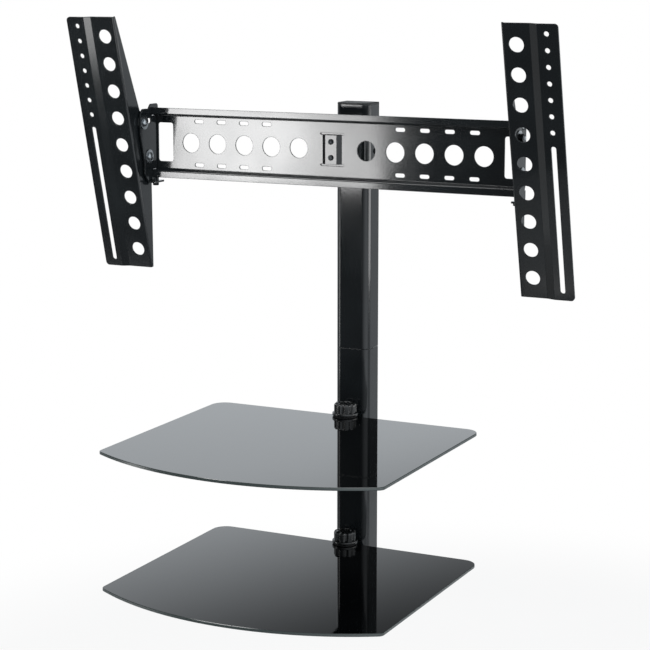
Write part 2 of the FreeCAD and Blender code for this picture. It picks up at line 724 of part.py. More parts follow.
# Swivel knuckle: folded bracket behind the web, its boss fills the lanced bridge
def swivel_knuckle():
    body = new_body("swivel_knuckle")
    top = sz.base_height / 2 - sz.base_sheet - sz.friction_disc - sz.running_gap
    bore = top - sz.knuckle_sheet
    face = web_back + sz.knuckle_sheet
    tail = swivel_y + sz.ear_end
    wide = sz.knuckle_width / 2
    sketch = new_sketch(body, "YZ_Plane", -wide)
    add_polygon(sketch, ((web_back, -top), (web_back, top), (tail, top), (tail, bore),
                         (face, bore), (face, -bore), (tail, -bore), (tail, -top)))
    pad(body, sketch, sz.knuckle_width)
    round_edges(body, "x", ((face, bore), (face, -bore)), sz.bend_inside)
    round_edges(body, "x", ((web_back, top), (web_back, -top)), sz.bend_inside + sz.knuckle_sheet)
    round_edges(body, "z", ((-wide, tail), (wide, tail)), sz.ear_round)
    boss = new_sketch(body, "XZ_Plane", -web_back)
    boss_x = sz.bridge_flat / 2 - sz.hook_gap - sz.bar_sheet / 2
    boss_z = sz.bridge_height / 2 - sz.hook_gap
    add_box(boss, -boss_x, boss_x, -boss_z, boss_z)
    pad(body, boss, sz.bridge_rise)
    drill(body, "XY_Plane", top + 1, top * 2 + 2, [(0, swivel_y, sz.pin_radius + sz.running_gap)])
    thread = sz.bridge_screw_radius + sz.running_gap
    drill(body, "XZ_Plane", -web_back + sz.bridge_rise + 1, sz.bridge_rise + sz.knuckle_sheet + 2,
          [(0, sz.bridge_screw_pitch * k / 2, thread) for k in (-1, 1)])
    keep(body, "swivel_knuckle")


swivel_knuckle()


# Swivel pin: low head on the upper ear, washer and nut under the lower ear
def swivel_pin():
    top = sz.base_height / 2
    seat = -top - sz.washer_sheet
    tail = seat - sz.pin_nut_rise - sz.pin_tail
    body = new_body("swivel_pin")
    crown = top + sz.pin_head_rise
    lathe(body, "XZ_Plane", ((0, tail), (sz.pin_radius - sz.thread_bevel, tail),
                             (sz.pin_radius, tail + sz.thread_bevel),
                             (sz.pin_radius, top), (sz.pin_head, top), (sz.pin_head, crown - sz.pin_head_bevel),
                             (sz.pin_head - sz.pin_head_bevel, crown), (0, crown)), "V_Axis")
    put(body, 0, swivel_y, 0)
    keep(body, "swivel_pin")
    washer = ring("swivel_pin_washer", "XY_Plane", -top, sz.pin_washer,
                  sz.pin_radius + sz.running_gap, sz.washer_sheet, True)
    put(washer, 0, swivel_y, 0)
    keep(washer, "swivel_pin_washer")
    nut = new_body("swivel_pin_nut")
    sketch = new_sketch(nut, "XY_Plane", seat)
    add_hexagon(sketch, sz.pin_nut_width)
    add_circle(sketch, 0, 0, sz.pin_radius + sz.running_gap)
    pad(nut, sketch, sz.pin_nut_rise, True)
    put(nut, 0, swivel_y, 0)
    keep(nut, "swivel_pin_nut")
    disc_top = top - sz.base_sheet
    discs = ring("swivel_friction_washers", "XY_Plane", disc_top - sz.friction_disc, sz.friction_radius,
                 sz.pin_radius + sz.running_gap, sz.friction_disc)
    repeat(discs, "Z_Axis", 2, disc_top * 2 - sz.friction_disc)
    put(discs, 0, swivel_y, -disc_top * 2 + sz.friction_disc)
    keep(discs, "swivel_friction_washers")


swivel_pin()


# Crossbar: hat section with lips, round holes, slots, end windows and a lanced bridge
def crossbar():
    body = new_body("crossbar")
    end = sz.bar_length / 2
    edge = sz.bar_height / 2
    low = sz.bar_channel / 2
    high = low + sz.bar_sheet
    lip_back = lip + sz.bar_sheet
    sketch = new_sketch(body, "YZ_Plane", -end)
    add_polygon(sketch, ((lip, edge), (lip_back, edge), (lip_back, high), (web_back, high),
                         (web_back, -high), (lip_back, -high), (lip_back, -edge), (lip, -edge),
                         (lip, -low), (web, -low), (web, low), (lip, low)))
    pad(body, sketch, sz.bar_length)
    round_edges(body, "x", ((lip, low), (lip, -low), (web_back, high), (web_back, -high)), sz.bar_bend)
    round_edges(body, "x", ((lip_back, high), (lip_back, -high), (web, low), (web, -low)),
                sz.bar_bend - sz.bar_sheet)
    start = -web + 1
    through = sz.bar_sheet + 2
    drill(body, "XZ_Plane", start, through,
          [(side * (sz.bar_hole_first + sz.bar_hole_pitch * k), 0, sz.bar_hole_radius)
           for side in (-1, 1) for k in range(BAR_HOLES)])
    sketch = new_sketch(body, "XZ_Plane", start)
    reach = sz.bar_slot_length / 2 - sz.bar_slot_radius
    for side in (-1, 1):
        for k in range(BAR_SLOTS):
            x = side * (sz.bar_slot_first + sz.bar_slot_pitch * k)
            for z in (-sz.bar_slot_rise, sz.bar_slot_rise):
                add_slot(sketch, (x - reach, z), (x + reach, z), sz.bar_slot_radius)
    pocket(body, sketch, through)
    sketch = new_sketch(body, "XZ_Plane", start)
    outer = sz.window_inner + sz.window_width
    tall = sz.window_height / 2
    add_box(sketch, -outer, -sz.window_inner, -tall, tall)
    add_box(sketch, sz.window_inner, outer, -tall, tall)
    pocket(body, sketch, through)
    corners = [(side * x, z) for side in (-1, 1) for x in (sz.window_inner, outer) for z in (-tall, tall)]
    round_edges(body, "y", corners, sz.window_round)
    lanced_bridge(body, start, through)
    keep(body, "crossbar")


def lanced_bridge(body, start, through):
    """Strip of the web pushed forward between two slits."""
    tall = sz.bridge_height / 2
    foot_x = sz.bridge_foot / 2
    flat_x = sz.bridge_flat / 2
    sketch = new_sketch(body, "XZ_Plane", start)
    reach = (sz.slit_length - sz.slit_width) / 2
    for side in (-1, 1):
        z = side * (tall + sz.slit_width / 2)
        add_slot(sketch, (-reach, z), (reach, z), sz.slit_width / 2)
    pocket(body, sketch, through)
    sketch = new_sketch(body, "XZ_Plane", start)
    add_box(sketch, -foot_x, foot_x, -tall, tall)
    pocket(body, sketch, through)
    rise = web - sz.bridge_rise
    rise_back = web_back - sz.bridge_rise
    land = foot_x + sz.bar_sheet
    sketch = new_sketch(body, "XY_Plane", -tall)
    add_polygon(sketch, ((-land, web), (-foot_x, web), (-flat_x, rise), (flat_x, rise), (foot_x, web),
                         (land, web), (land, web_back), (foot_x - sz.bar_sheet / 2, web_back),
                         (flat_x - sz.bar_sheet / 2, rise_back), (sz.bar_sheet / 2 - flat_x, rise_back),
                         (sz.bar_sheet / 2 - foot_x, web_back), (-land, web_back)))
    pad(body, sketch, sz.bridge_height)
    hole = sz.bridge_screw_radius + sz.bolt_gap
    drill(body, "XZ_Plane", start + sz.bridge_rise, through,
          [(0, sz.bridge_screw_pitch * k / 2, hole) for k in (-1, 1)])


crossbar()


# Bridge screws: black button heads on the raised face
def bridge_screws():
    body = new_body("bridge_screws")
    seat = web - sz.bridge_rise
    top = seat - sz.bridge_screw_rise
    ledge = seat - sz.bridge_screw_rise / 3
    socket = sz.bridge_screw_head / 3
    tail = seat + sz.bridge_screw_length
    lathe(body, "YZ_Plane", ((tail, 0), (tail, sz.bridge_screw_radius), (seat, sz.bridge_screw_radius),
                             (seat, sz.bridge_screw_head), (ledge, sz.bridge_screw_head), (top, socket * 2),
                             (top, socket), (ledge, socket), (ledge, 0)), "H_Axis")
    repeat(body, "Z_Axis", 2, sz.bridge_screw_pitch)
    put(body, 0, 0, -sz.bridge_screw_pitch / 2)
    keep(body, "bridge_screws")


bridge_screws()


# Tilt bracket: side plate hooked round both lips, with an arc slot for the lock bolt
def tilt_bracket():
    body = new_body("tilt_bracket_right_plate")
    gap = sz.hook_gap
    edge = sz.bar_height / 2
    low = sz.bar_channel / 2 - gap
    lip_front = lip - gap
    lip_back = lip + sz.bar_sheet + gap
    finger = lip_back + sz.hook_finger
    tip = edge - sz.hook_reach
    crown = edge + gap + sz.hook_over
    nose = lip - sz.bracket_front
    cheek = crown - sz.cheek_drop
    chin = nose + sz.chin_inset
    jaw = -crown - sz.jaw_drop
    inner = web - gap * 2
    sketch = new_sketch(body, "YZ_Plane", bracket_inner)
    add_polygon(sketch, ((lip_back, tip), (finger, tip), (finger, crown), (lip_front - sz.hook_front, crown),
                         (lip_front - sz.brow_reach, crown - sz.brow_drop),
                         (lip_front - sz.cheek_reach, cheek), (nose + sz.nose_slant, cheek),
                         (nose, cheek - sz.nose_drop), (nose, sz.nose_low),
                         (chin, -sz.pivot_drop - sz.chin_drop), (chin, sz.chin_rise - edge),
                         (finger - sz.jaw_depth, jaw), (finger, jaw),
                         (finger, -tip), (lip_back, -tip), (lip_back, -edge - gap), (lip_front, -edge - gap),
                         (lip_front, -low), (inner, -low), (inner, low), (lip_front, low),
                         (lip_front, edge + gap), (lip_back, edge + gap)))
    pad(body, sketch, sz.bracket_sheet)
    hook_corners = ((finger, crown), (lip_front - sz.hook_front, crown), (finger, jaw))
    round_edges(body, "x", hook_corners, sz.hook_round)
    nose_corners = ((nose + sz.nose_slant, cheek), (nose, cheek - sz.nose_drop), (nose, sz.nose_low),
                    (chin, -sz.pivot_drop - sz.chin_drop), (chin, sz.chin_rise - edge))
    round_edges(body, "x", nose_corners, sz.nose_round)
    tab = new_sketch(body, "YZ_Plane", bracket_inner)
    add_box(tab, finger - sz.lock_tab_depth, finger, jaw, jaw + sz.bracket_sheet)
    pad(body, tab, sz.lock_tab, True)
    drill(body, "YZ_Plane", bracket_inner + sz.bracket_sheet + 1, sz.bracket_sheet + 2,
          [(pivot_y, pivot_z, sz.tilt_bolt_radius + sz.running_gap)])
    drill(body, "XY_Plane", jaw + sz.bracket_sheet + 1, sz.bracket_sheet + 2,
          [(lock_x, lock_y, sz.lock_screw_radius + sz.running_gap)])
    piece = doc.addObject("Part::Cut", "tilt_bracket_right")
    piece.Base = body
    piece.Tool = arc_slot()
    return keep(piece, "tilt_bracket_right")


def arc_slot():
    """Slot about the tilt axis that lets the lock bolt move between both stops."""
    half_width = sz.tilt_bolt_radius + sz.bolt_gap
    sweep = sz.tilt_back + sz.tilt_front
    upright = FreeCAD.Rotation(FreeCAD.Vector(1, 0, 1), 180)
    start = bracket_inner - 1
    sectors = []
    for name, radius in (("outer", sz.lock_radius + half_width), ("inner", sz.lock_radius - half_width)):
        sector = doc.addObject("Part::Cylinder", "lock_arc_" + name)
        sector.Placement = FreeCAD.Placement(FreeCAD.Vector(0, 0, 0), upright)
        bind(sector, "Radius", radius)
        bind(sector, "Height", sz.bracket_sheet + 2)
        bind(sector, "Placement.Base.x", start)
        sectors.append(sector)
    bind(sectors[0], "Angle", sweep)
    band = doc.addObject("Part::Cut", "lock_arc_band")
    band.Base, band.Tool = sectors
    ends = []
    for name, y, z in (("back", 0, sz.lock_radius),
                       ("front", -sz.lock_radius * sine(sweep), sz.lock_radius * cosine(sweep))):
        end = doc.addObject("Part::Cylinder", "lock_arc_end_" + name)
        end.Placement = FreeCAD.Placement(FreeCAD.Vector(0, 0, 0), upright)
        bind(end, "Radius", half_width)
        bind(end, "Height", sz.bracket_sheet + 2)
        put(end, start, y, z)
        ends.append(end)
    tool = doc.addObject("Part::MultiFuse", "lock_arc")
    tool.Shapes = [band] + ends
    tool.Placement = FreeCAD.Placement(FreeCAD.Vector(0, 0, 0), FreeCAD.Rotation(FreeCAD.Vector(1, 0, 0), -1))
    bind(tool, "Placement.Rotation.Angle", -sz.tilt_back)
    put(tool, 0, pivot_y, pivot_z)
    return tool


lock_x = bracket_inner - sz.lock_tab / 2
lock_y = lip + sz.bar_sheet / 2
mirrored(tilt_bracket(), "tilt_bracket_left")


# Lock screws: thumb screws through the bracket tab against the lower lip
def lock_screw():
    body = new_body("bracket_lock_screw_right")
    top = -sz.bar_height / 2
    seat = top - sz.hook_gap - sz.hook_over - sz.jaw_drop
    low = seat - sz.lock_screw_rise
    lathe(body, "XZ_Plane", ((0, top), (sz.lock_screw_radius, top), (sz.lock_screw_radius, seat),
                             (sz.lock_screw_head, seat), (sz.lock_screw_head, low + sz.thread_bevel),
                             (sz.lock_screw_head - sz.thread_bevel, low), (0, low)), "V_Axis")
    put(body, lock_x, lock_y, 0)
    mirrored(keep(body, "bracket_lock_screw_right"), "bracket_lock_screw_left")


lock_screw()

# Arm frame: origin on the tilt axis, screen face towards -Y, upright at no tilt
arm_inner = bracket_inner + sz.bracket_sheet + sz.tilt_friction
face_end = arm_inner + sz.arm_face
strip_start = face_end + sz.arm_joggle
arm_outer = strip_start + sz.arm_strip
screen_x = arm_outer - sz.screen_inset
screen_y = -sz.arm_reach
face_y = screen_y + sz.arm_step


def tilt_into_place(item):
    """Turn a piece of the arm about the tilt axis to the tilt shown."""
    item.Placement = FreeCAD.Placement(FreeCAD.Vector(0, 0, 0), FreeCAD.Rotation(FreeCAD.Vector(1, 0, 0), 1))
    bind(item, "Placement.Rotation.Angle", sz.tilt_rest)
    put(item, 0, pivot_y, pivot_z)


# Arm: screen strip, joggle, wide perforated face and a three-cornered side flange
def arm():
    body = new_body("arm_right")
    sheet_y = sz.arm_sheet
    sketch = new_sketch(body, "XY_Plane", -sz.arm_below)
    add_polygon(sketch, ((arm_inner, face_y), (face_end, face_y), (strip_start, screen_y),
                         (arm_outer, screen_y), (arm_outer, screen_y + sheet_y),
                         (strip_start, screen_y + sheet_y),
                         (face_end, face_y + sheet_y), (arm_inner, face_y + sheet_y)))
    length = sz.arm_above + sz.arm_below
    pad(body, sketch, length)
    deep = face_y + sz.flange_depth
    shoulder = face_y + sz.flange_shoulder
    tip = face_y + sz.flange_tip
    sketch = new_sketch(body, "YZ_Plane", arm_inner)
    add_polygon(sketch, ((face_y, sz.arm_above), (tip, sz.arm_above), (shoulder, sz.flange_shoulder_top),
                         (deep, sz.flange_flat_top), (deep, -sz.flange_flat_low), (tip, -sz.arm_below),
                         (face_y, -sz.arm_below)))
    pad(body, sketch, sz.arm_sheet)
    round_edges(body, "z", ((arm_inner, face_y),), sz.arm_bend)
    round_edges(body, "z", ((face_end, face_y), (strip_start, screen_y), (face_end, face_y + sheet_y),
                            (strip_start, screen_y + sheet_y)), sz.arm_bend)
    round_edges(body, "x", ((shoulder, sz.flange_shoulder_top),), sz.shoulder_round)
    round_edges(body, "x", ((deep, sz.flange_flat_top), (deep, -sz.flange_flat_low)), sz.flange_round)
    round_edges(body, "y", ((arm_outer, sz.arm_above), (arm_outer, -sz.arm_below)), sz.arm_corner)
    start = sz.arm_reach + 1
    through = sz.arm_step + sz.arm_sheet + 2
    middle = (sz.arm_above - sz.arm_below) / 2
    steps = [k - (ARM_LARGE_HOLES - 1) / 2 for k in range(ARM_LARGE_HOLES)]
    drill(body, "XZ_Plane", start, through,
          [(arm_inner + sz.large_hole_inset, middle + sz.large_hole_pitch * step, sz.large_hole_radius)
           for step in steps])
    top_hole = sz.arm_above - sz.small_hole_inset
    drill(body, "XZ_Plane", start, through,
          [(screen_x, top_hole - sz.small_hole_pitch * k, sz.small_hole_radius)
           for k in range(ARM_SMALL_HOLES)])
    sketch = new_sketch(body, "XZ_Plane", start)
    add_slot(sketch, (screen_x, sz.arm_slot_inset + sz.small_hole_radius - sz.arm_below),
             (screen_x, sz.arm_slot_top - sz.small_hole_radius), sz.small_hole_radius)
    pocket(body, sketch, through)
    bore = sz.tilt_bolt_radius + sz.running_gap
    drill(body, "YZ_Plane", arm_inner + sz.arm_sheet + 1, sz.arm_sheet + 2,
          [(0, 0, bore), (0, sz.lock_radius, bore)])
    tilt_into_place(body)
    mirrored(keep(body, "arm_right"), "arm_left")


arm()


# Tilt bolts, nuts and washers of one arm: the tilt axis below, the lock bolt above
def tilt_fasteners():
    head_seat = bracket_inner - sz.washer_sheet
    arm_back = arm_inner + sz.arm_sheet
    nut_seat = arm_back + sz.washer_sheet
    nut_end = nut_seat + sz.tilt_nut_rise
    bore = sz.tilt_bolt_radius + sz.running_gap
    bolts = new_body("tilt_bolts_right")
    sketch = new_sketch(bolts, "YZ_Plane", head_seat)
    add_hexagon(sketch, sz.tilt_bolt_width)
    pad(bolts, sketch, sz.tilt_bolt_head, True)
    sketch = new_sketch(bolts, "YZ_Plane", head_seat)
    add_circle(sketch, 0, 0, sz.tilt_bolt_radius)
    pad(bolts, sketch, nut_end + sz.tilt_bolt_tail - head_seat)
    nuts = new_body("tilt_nuts_right")
    sketch = new_sketch(nuts, "YZ_Plane", nut_seat)
    add_hexagon(sketch, sz.tilt_bolt_width)
    add_circle(sketch, 0, 0, bore)
    pad(nuts, sketch, sz.tilt_nut_rise)
    washers = ring("tilt_washers_right", "YZ_Plane", head_seat, sz.tilt_washer, bore, sz.washer_sheet)
    sketch = new_sketch(washers, "YZ_Plane", arm_back)
    add_circle(sketch, 0, 0, sz.tilt_washer)
    add_circle(sketch, 0, 0, bore)
    pad(washers, sketch, sz.washer_sheet)
    discs = ring("tilt_friction_washers_right", "YZ_Plane", arm_inner - sz.tilt_friction,
                 sz.tilt_washer, bore, sz.tilt_friction)
    for item in (bolts, nuts, washers, discs):
        repeat(item, "Z_Axis", 2, sz.lock_radius)
        tilt_into_place(item)
        label = item.Name
        mirrored(keep(item, label), label.replace("right", "left"))


tilt_fasteners()


# Glass shelves: bowed front, rounded corners and a notch for the clamp stud
def glass_shelf(label, top):
    body = new_body(label)
    wide = sz.shelf_width / 2
    rear = -sz.shelf_rear
    hub = sz.bow_radius - sz.shelf_front
    reach = math.sqrt(sz.bow_radius.value ** 2 - wide.value ** 2)
    corner = hub.value - reach
    spread = math.atan2(wide.value, reach)
    bow = Part.Circle(flat(0, hub), FreeCAD.Vector(0, 0, 1), sz.bow_radius.value)
    down = -math.pi / 2
    sketch = new_sketch(body, "XY_Plane", top)
    back = sketch.addGeometry(Part.LineSegment(flat(wide, rear), flat(-wide, rear)))
    left = sketch.addGeometry(Part.LineSegment(flat(-wide, rear), flat(-wide, corner)))
    arc = sketch.addGeometry(Part.ArcOfCircle(bow, down - spread, down + spread))
    right = sketch.addGeometry(Part.LineSegment(flat(wide, corner), flat(wide, rear)))
    for here, there in ((back, left), (left, arc), (arc, right), (right, back)):
        sketch.addConstraint(Sketcher.Constraint("Coincident", here, 2, there, 1))
    fix_point(sketch, back, 1, wide, rear)
    fix_point(sketch, back, 2, -wide, rear)
    sketch.addConstraint(Sketcher.Constraint("Vertical", left))
    sketch.addConstraint(Sketcher.Constraint("Vertical", right))
    fix_point(sketch, arc, 3, 0, hub)
    drive(sketch, "Radius", (arc,), sz.bow_radius)
    pad(body, sketch, sz.glass_sheet, True)
    round_edges(body, "z", ((-wide, rear), (wide, rear)), sz.glass_rear_round)
    round_edges(body, "z", ((-wide, corner), (wide, corner)), sz.glass_front_round)
    notch = new_sketch(body, "XY_Plane", top + 1)
    add_slot(notch, (0, -sz.stud_wall), (0, rear + sz.notch_radius * 2), sz.notch_radius)
    pocket(body, notch, sz.glass_sheet + 2)
    doc.recompute()
    shape = body.Tip.Shape
    names = level_edges(shape, top) + level_edges(shape, top - sz.glass_sheet)
    soften(body, names, sz.glass_arris, "PartDesign::Chamfer")
    keep(body, label)


glass_shelf("glass_shelf_upper", glass_tops[0])
glass_shelf("glass_shelf_lower", glass_tops[1])


# Shelf brackets: tongue under the glass with two ribs, cross piece and back plate
def shelf_bracket(label, glass_top):
    body = new_body(label)
    top = glass_top - tongue_drop
    under = top - sz.shelf_sheet
    wide = sz.tongue_width / 2
    end = front - sz.tongue_length
    back = front - sz.shelf_sheet
    tee = sz.tee_width / 2
    sketch = new_sketch(body, "XY_Plane", top)
    add_polygon(sketch, ((-wide, front), (-wide, end + sz.tee_depth), (-tee, end + sz.tee_depth), (-tee, end),
                         (tee, end), (tee, end + sz.tee_depth), (wide, end + sz.tee_depth), (wide, front)))
    pad(body, sketch, sz.shelf_sheet, True)
    sketch = new_sketch(body, "XZ_Plane", sz.column_depth)
    add_box(sketch, -wide, wide, glass_top - bolt_drops[1] - sz.back_plate_edge, top)
    pad(body, sketch, sz.shelf_sheet)
    for side in (-wide, wide - sz.shelf_sheet):
        sketch = new_sketch(body, "YZ_Plane", side)
        add_polygon(sketch, ((front, top), (front, under - sz.rib_root), (back, under - sz.rib_root),
                             (end + sz.tee_depth / 2, under - sz.rib_tip), (end + sz.tee_depth / 2, top)))
        pad(body, sketch, sz.shelf_sheet)
    sketch = new_sketch(body, "YZ_Plane", -tee)
    add_box(sketch, end, end + sz.shelf_sheet, under - sz.tee_lip, top)
    pad(body, sketch, sz.tee_width)
    round_edges(body, "z", [(x, end + sz.tee_depth) for x in (-tee, tee)], sz.tee_depth / 3)
    round_edges(body, "z", [(x, end + sz.tee_depth) for x in (-wide, wide)], sz.tee_depth / 2)
    drill(body, "XY_Plane", top + 1, sz.shelf_sheet + 2,
          [(0, -sz.stud_wall, sz.stud_radius + sz.running_gap)])
    drill(body, "XZ_Plane", -back + 1, sz.shelf_sheet + 2,
          [(0, glass_top - drop, sz.shelf_bolt_radius + sz.bolt_gap) for drop in bolt_drops])
    keep(body, label)


# Nut plate: threaded plate inside the column behind a shelf bracket
def nut_plate(label, glass_top):
    body = new_body(label)
    sketch = new_sketch(body, "XZ_Plane", -inner_front)
    add_box(sketch, -flat_half, flat_half, glass_top - bolt_drops[1] - sz.nut_plate_edge,
            glass_top - bolt_drops[0] + sz.nut_plate_edge)
    pad(body, sketch, sz.nut_plate_sheet, True)
    drill(body, "XZ_Plane", -inner_front + 1, sz.nut_plate_sheet + 2,
          [(0, glass_top - drop, sz.shelf_bolt_radius + sz.running_gap) for drop in bolt_drops])
    keep(body, label)


# Pads, clamp gasket, stud and washers of one shelf
def shelf_rubber(place, glass_top):
    low = glass_top - tongue_drop
    pads = new_body("shelf_pads_" + place)
    sketch = new_sketch(pads, "XY_Plane", low)
    pad_y = front - sz.tongue_length + sz.tee_depth / 2
    for x, y in ((-sz.pad_span / 2, pad_y), (sz.pad_span / 2, pad_y), (0, pad_y)):
        add_circle(sketch, x, y, sz.pad_radius)
    pad(pads, sketch, sz.pad_sheet)
    keep(pads, "shelf_pads_" + place)
    bore = sz.stud_radius + sz.running_gap
    for name, level, radius, sheet_z in (("clamp_gasket_", low, sz.gasket_radius, sz.pad_sheet),
                                         ("knob_washer_", glass_top, sz.knob_washer_radius, sz.knob_washer)):
        item = ring(name + place, "XY_Plane", level, radius, bore, sheet_z)
        put(item, 0, -sz.stud_wall, 0)
        keep(item, name + place)
    seat = low - sz.shelf_sheet
    tip = glass_top + sz.knob_washer + sz.stud_grip
    stud = new_body("clamp_stud_" + place)
    lathe(stud, "XZ_Plane", ((0, seat - sz.stud_head_rise), (sz.stud_head, seat - sz.stud_head_rise),
                             (sz.stud_head, seat), (sz.stud_radius, seat), (sz.stud_radius, tip - sz.thread_bevel),
                             (sz.stud_radius - sz.thread_bevel, tip), (0, tip)), "V_Axis")
    put(stud, 0, -sz.stud_wall, 0)
    keep(stud, "clamp_stud_" + place)


# Clamp knob: flanged base, fluted grip and a blind threaded bore
def knob(label, glass_top):
    body = new_body(label)
    grip = sz.knob_flange_rise
    lathe(body, "XZ_Plane", ((0, 0), (sz.knob_flange, 0), (sz.knob_flange, grip - sz.knob_round),
                             (sz.knob_flange - sz.knob_round, grip), (sz.knob_grip, grip),
                             (sz.knob_grip, sz.knob_rise), (0, sz.knob_rise)), "V_Axis")
    flute = drill(body, "XY_Plane", sz.knob_rise + 1, sz.knob_rise - grip + 1,
                  [(sz.flute_circle, 0, sz.flute_radius)])
    ring_row = body.newObject("PartDesign::PolarPattern", label + "_flutes")
    ring_row.Originals = [flute]
    ring_row.Axis = (origin_item(body, "Z_Axis"), [""])
    ring_row.Angle = 360
    ring_row.Occurrences = KNOB_FLUTES
    body.Tip = ring_row
    doc.recompute()
    soften(body, level_edges(body.Tip.Shape, sz.knob_rise, False), sz.knob_round)
    sketch = new_sketch(body, "XY_Plane", 0)
    add_circle(sketch, 0, 0, sz.stud_radius + sz.running_gap)
    bore = pocket(body, sketch, sz.stud_grip + sz.bore_spare)
    bore.Reversed = True
    put(body, 0, -sz.stud_wall, glass_top + sz.knob_washer)
    keep(body, label)


for place, glass_top in zip(("upper", "lower"), glass_tops):
    shelf_bracket("shelf_bracket_" + place, glass_top)
    nut_plate("shelf_nut_plate_" + place, glass_top)
    shelf_rubber(place, glass_top)
    knob("shelf_knob_" + place, glass_top)


# Bracket bolts: two under each glass, through the column into the nut plates
shelf_seat = front - sz.shelf_sheet
shelf_bolts = bolt_row("shelf_bracket_bolts", sz.shelf_bolt_width, sz.shelf_bolt_head, sz.shelf_bolt_radius,
                       inner_front + sz.nut_plate_sheet - shelf_seat + sz.bolt_tail, shelf_seat)
repeat(shelf_bolts, "Z_Axis", 2, sz.shelf_bolt_pitch, "Z_Axis", sz.shelf_spacing)
put(shelf_bolts, 0, 0, glass_tops[1] - bolt_drops[1])
keep(shelf_bolts, "shelf_bracket_bolts")

# Check every object, then write each piece to its own file
doc.recompute()
faults = [item.Name for item in doc.Objects if "Invalid" in item.State or "Error" in item.State]
faults += [item.Label for item in nodes if item.Shape.isNull() or not item.Shape.isValid()]
faults += [cut.Name for cut in cuts if cut.Shape.Volume > cut.BaseFeature.Shape.Volume - 0.01]
if faults:
    raise RuntimeError("failed: " + ", ".join(faults))
for item in nodes:
    item.Shape.exportStep(f"parts/{item.Label}.step")
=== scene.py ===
import math

import bpy
from bpy.props import FloatProperty, PointerProperty, StringProperty
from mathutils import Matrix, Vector


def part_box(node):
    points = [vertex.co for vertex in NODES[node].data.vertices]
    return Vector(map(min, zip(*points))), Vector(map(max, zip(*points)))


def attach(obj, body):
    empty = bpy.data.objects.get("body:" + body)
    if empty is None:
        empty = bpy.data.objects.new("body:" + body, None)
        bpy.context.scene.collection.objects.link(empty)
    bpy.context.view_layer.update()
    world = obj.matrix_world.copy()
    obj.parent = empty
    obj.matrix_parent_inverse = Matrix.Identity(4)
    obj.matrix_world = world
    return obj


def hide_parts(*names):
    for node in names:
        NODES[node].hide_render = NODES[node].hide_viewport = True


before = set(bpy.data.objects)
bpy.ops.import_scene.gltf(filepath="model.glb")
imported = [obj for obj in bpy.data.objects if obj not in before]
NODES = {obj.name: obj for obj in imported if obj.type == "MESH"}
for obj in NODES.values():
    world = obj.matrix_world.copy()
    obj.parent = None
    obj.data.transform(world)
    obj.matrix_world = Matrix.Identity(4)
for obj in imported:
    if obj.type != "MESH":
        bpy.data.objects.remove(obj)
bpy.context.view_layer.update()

bl_info = {
    "name": "Wall media column",
    "version": (1, 0, 0),
    "blender": (4, 5, 0),
    "location": "View3D > Sidebar > Column",
    "description": "Finishes, knobs, fasteners and stage of a wall column with a screen mount",
    "category": "Object",
}

SIDES = ((-1, "left"), (1, "right"))

# Pieces by finish
PAINTED_STEEL = (
    "column_upper", "column_lower", "column_joint_sleeve", "wall_plate_upper", "wall_plate_lower",
    "swivel_base", "swivel_knuckle", "crossbar", "tilt_bracket_left", "tilt_bracket_right",
    "arm_left", "arm_right", "shelf_bracket_upper", "shelf_bracket_lower")
MOULDED_CAPS = (
    "column_top_cap", "column_bottom_cap", "swivel_friction_washers",
    "tilt_friction_washers_left", "tilt_friction_washers_right")
GLASS = ("glass_shelf_upper", "glass_shelf_lower")
RUBBER = (
    "shelf_pads_upper", "shelf_pads_lower", "clamp_gasket_upper", "clamp_gasket_lower",
    "knob_washer_upper", "knob_washer_lower")
ZINC = (
    "head_backing_plate", "head_bolts", "head_bolt_washers", "swivel_pin", "swivel_pin_washer",
    "shelf_nut_plate_upper", "shelf_nut_plate_lower", "shelf_bracket_bolts", "clamp_stud_upper",
    "clamp_stud_lower", "tilt_washers_left", "tilt_washers_right")

# Sockets of a colour mix node: both colours and the result
MIX_A, MIX_B, MIX_OUT = 6, 7, 2

# Smoothing: points closer than this are one, folds sharper than this stay edges, and the weight
# that keeps large faces flat
JOIN_DISTANCE = 1e-6
SMOOTH_ANGLE = math.radians(30)
FLAT_WEIGHT = 90

# Picking: upright part of a level face's normal, how near a point lies to its level, how near to
# its angle, and the least area of a knob's top
LEVEL = 0.9
NEAR = 1e-5
NEAR_ANGLE = 1e-3
TOP_AREA = 1e-4

# Clamp knob: points round it, flutes, height where they start, radius and steps of the round
# shoulder and rims, the steps of the dished top as rise and scale, and how far each knob is turned
KNOB_POINTS = 192
KNOB_FLUTES = 8
FLUTE_FOOT = 0.0012
KNOB_SHOULDER = {"offset": 0.0042, "segments": 8}
KNOB_RIM = {"offset": 0.0011, "segments": 3}
KNOB_DISH = ((0, 0.80), (-0.0010, 0.94), (0, 0.45), (-0.0004, 0.85))
KNOB_TURNS = (("upper", 0.2), ("lower", 0.55))

# Hexagons: radius of the flat left by the chamfer and of the dome, for a width across flats of 1,
# and points round their cutters
CHAMFER_FLAT = 0.475
HEAD_DOME = 0.65
CHAMFER_POINTS = 72
DOME_POINTS, DOME_RINGS = 64, 32

# Thread depth for a pitch of 1, countersink of a nut for a bore radius of 1, and points round them
THREAD_DEPTH = 0.55
THREAD_POINTS = 40
SINK_WIDE, SINK_NARROW, SINK_DEPTH = 1.14, 0.94, 0.2
BORE_POINTS = 48

# Screw heads: points round them, then for a head of 1 the radius in the grooves, the size of the
# top's bevel and its steps
HEAD_POINTS = 72
DOMED = (1.0, 0.6, 6)
KNURLED = (0.94, 0.15, 2)
# Socket radius and level for a head of 1, taper of the tip and its length for a shank radius of 1
SOCKET_RADIUS, SOCKET_LEVEL = 0.40, 0.95
TIP_TAPER, TIP_LENGTH = 0.85, 0.2

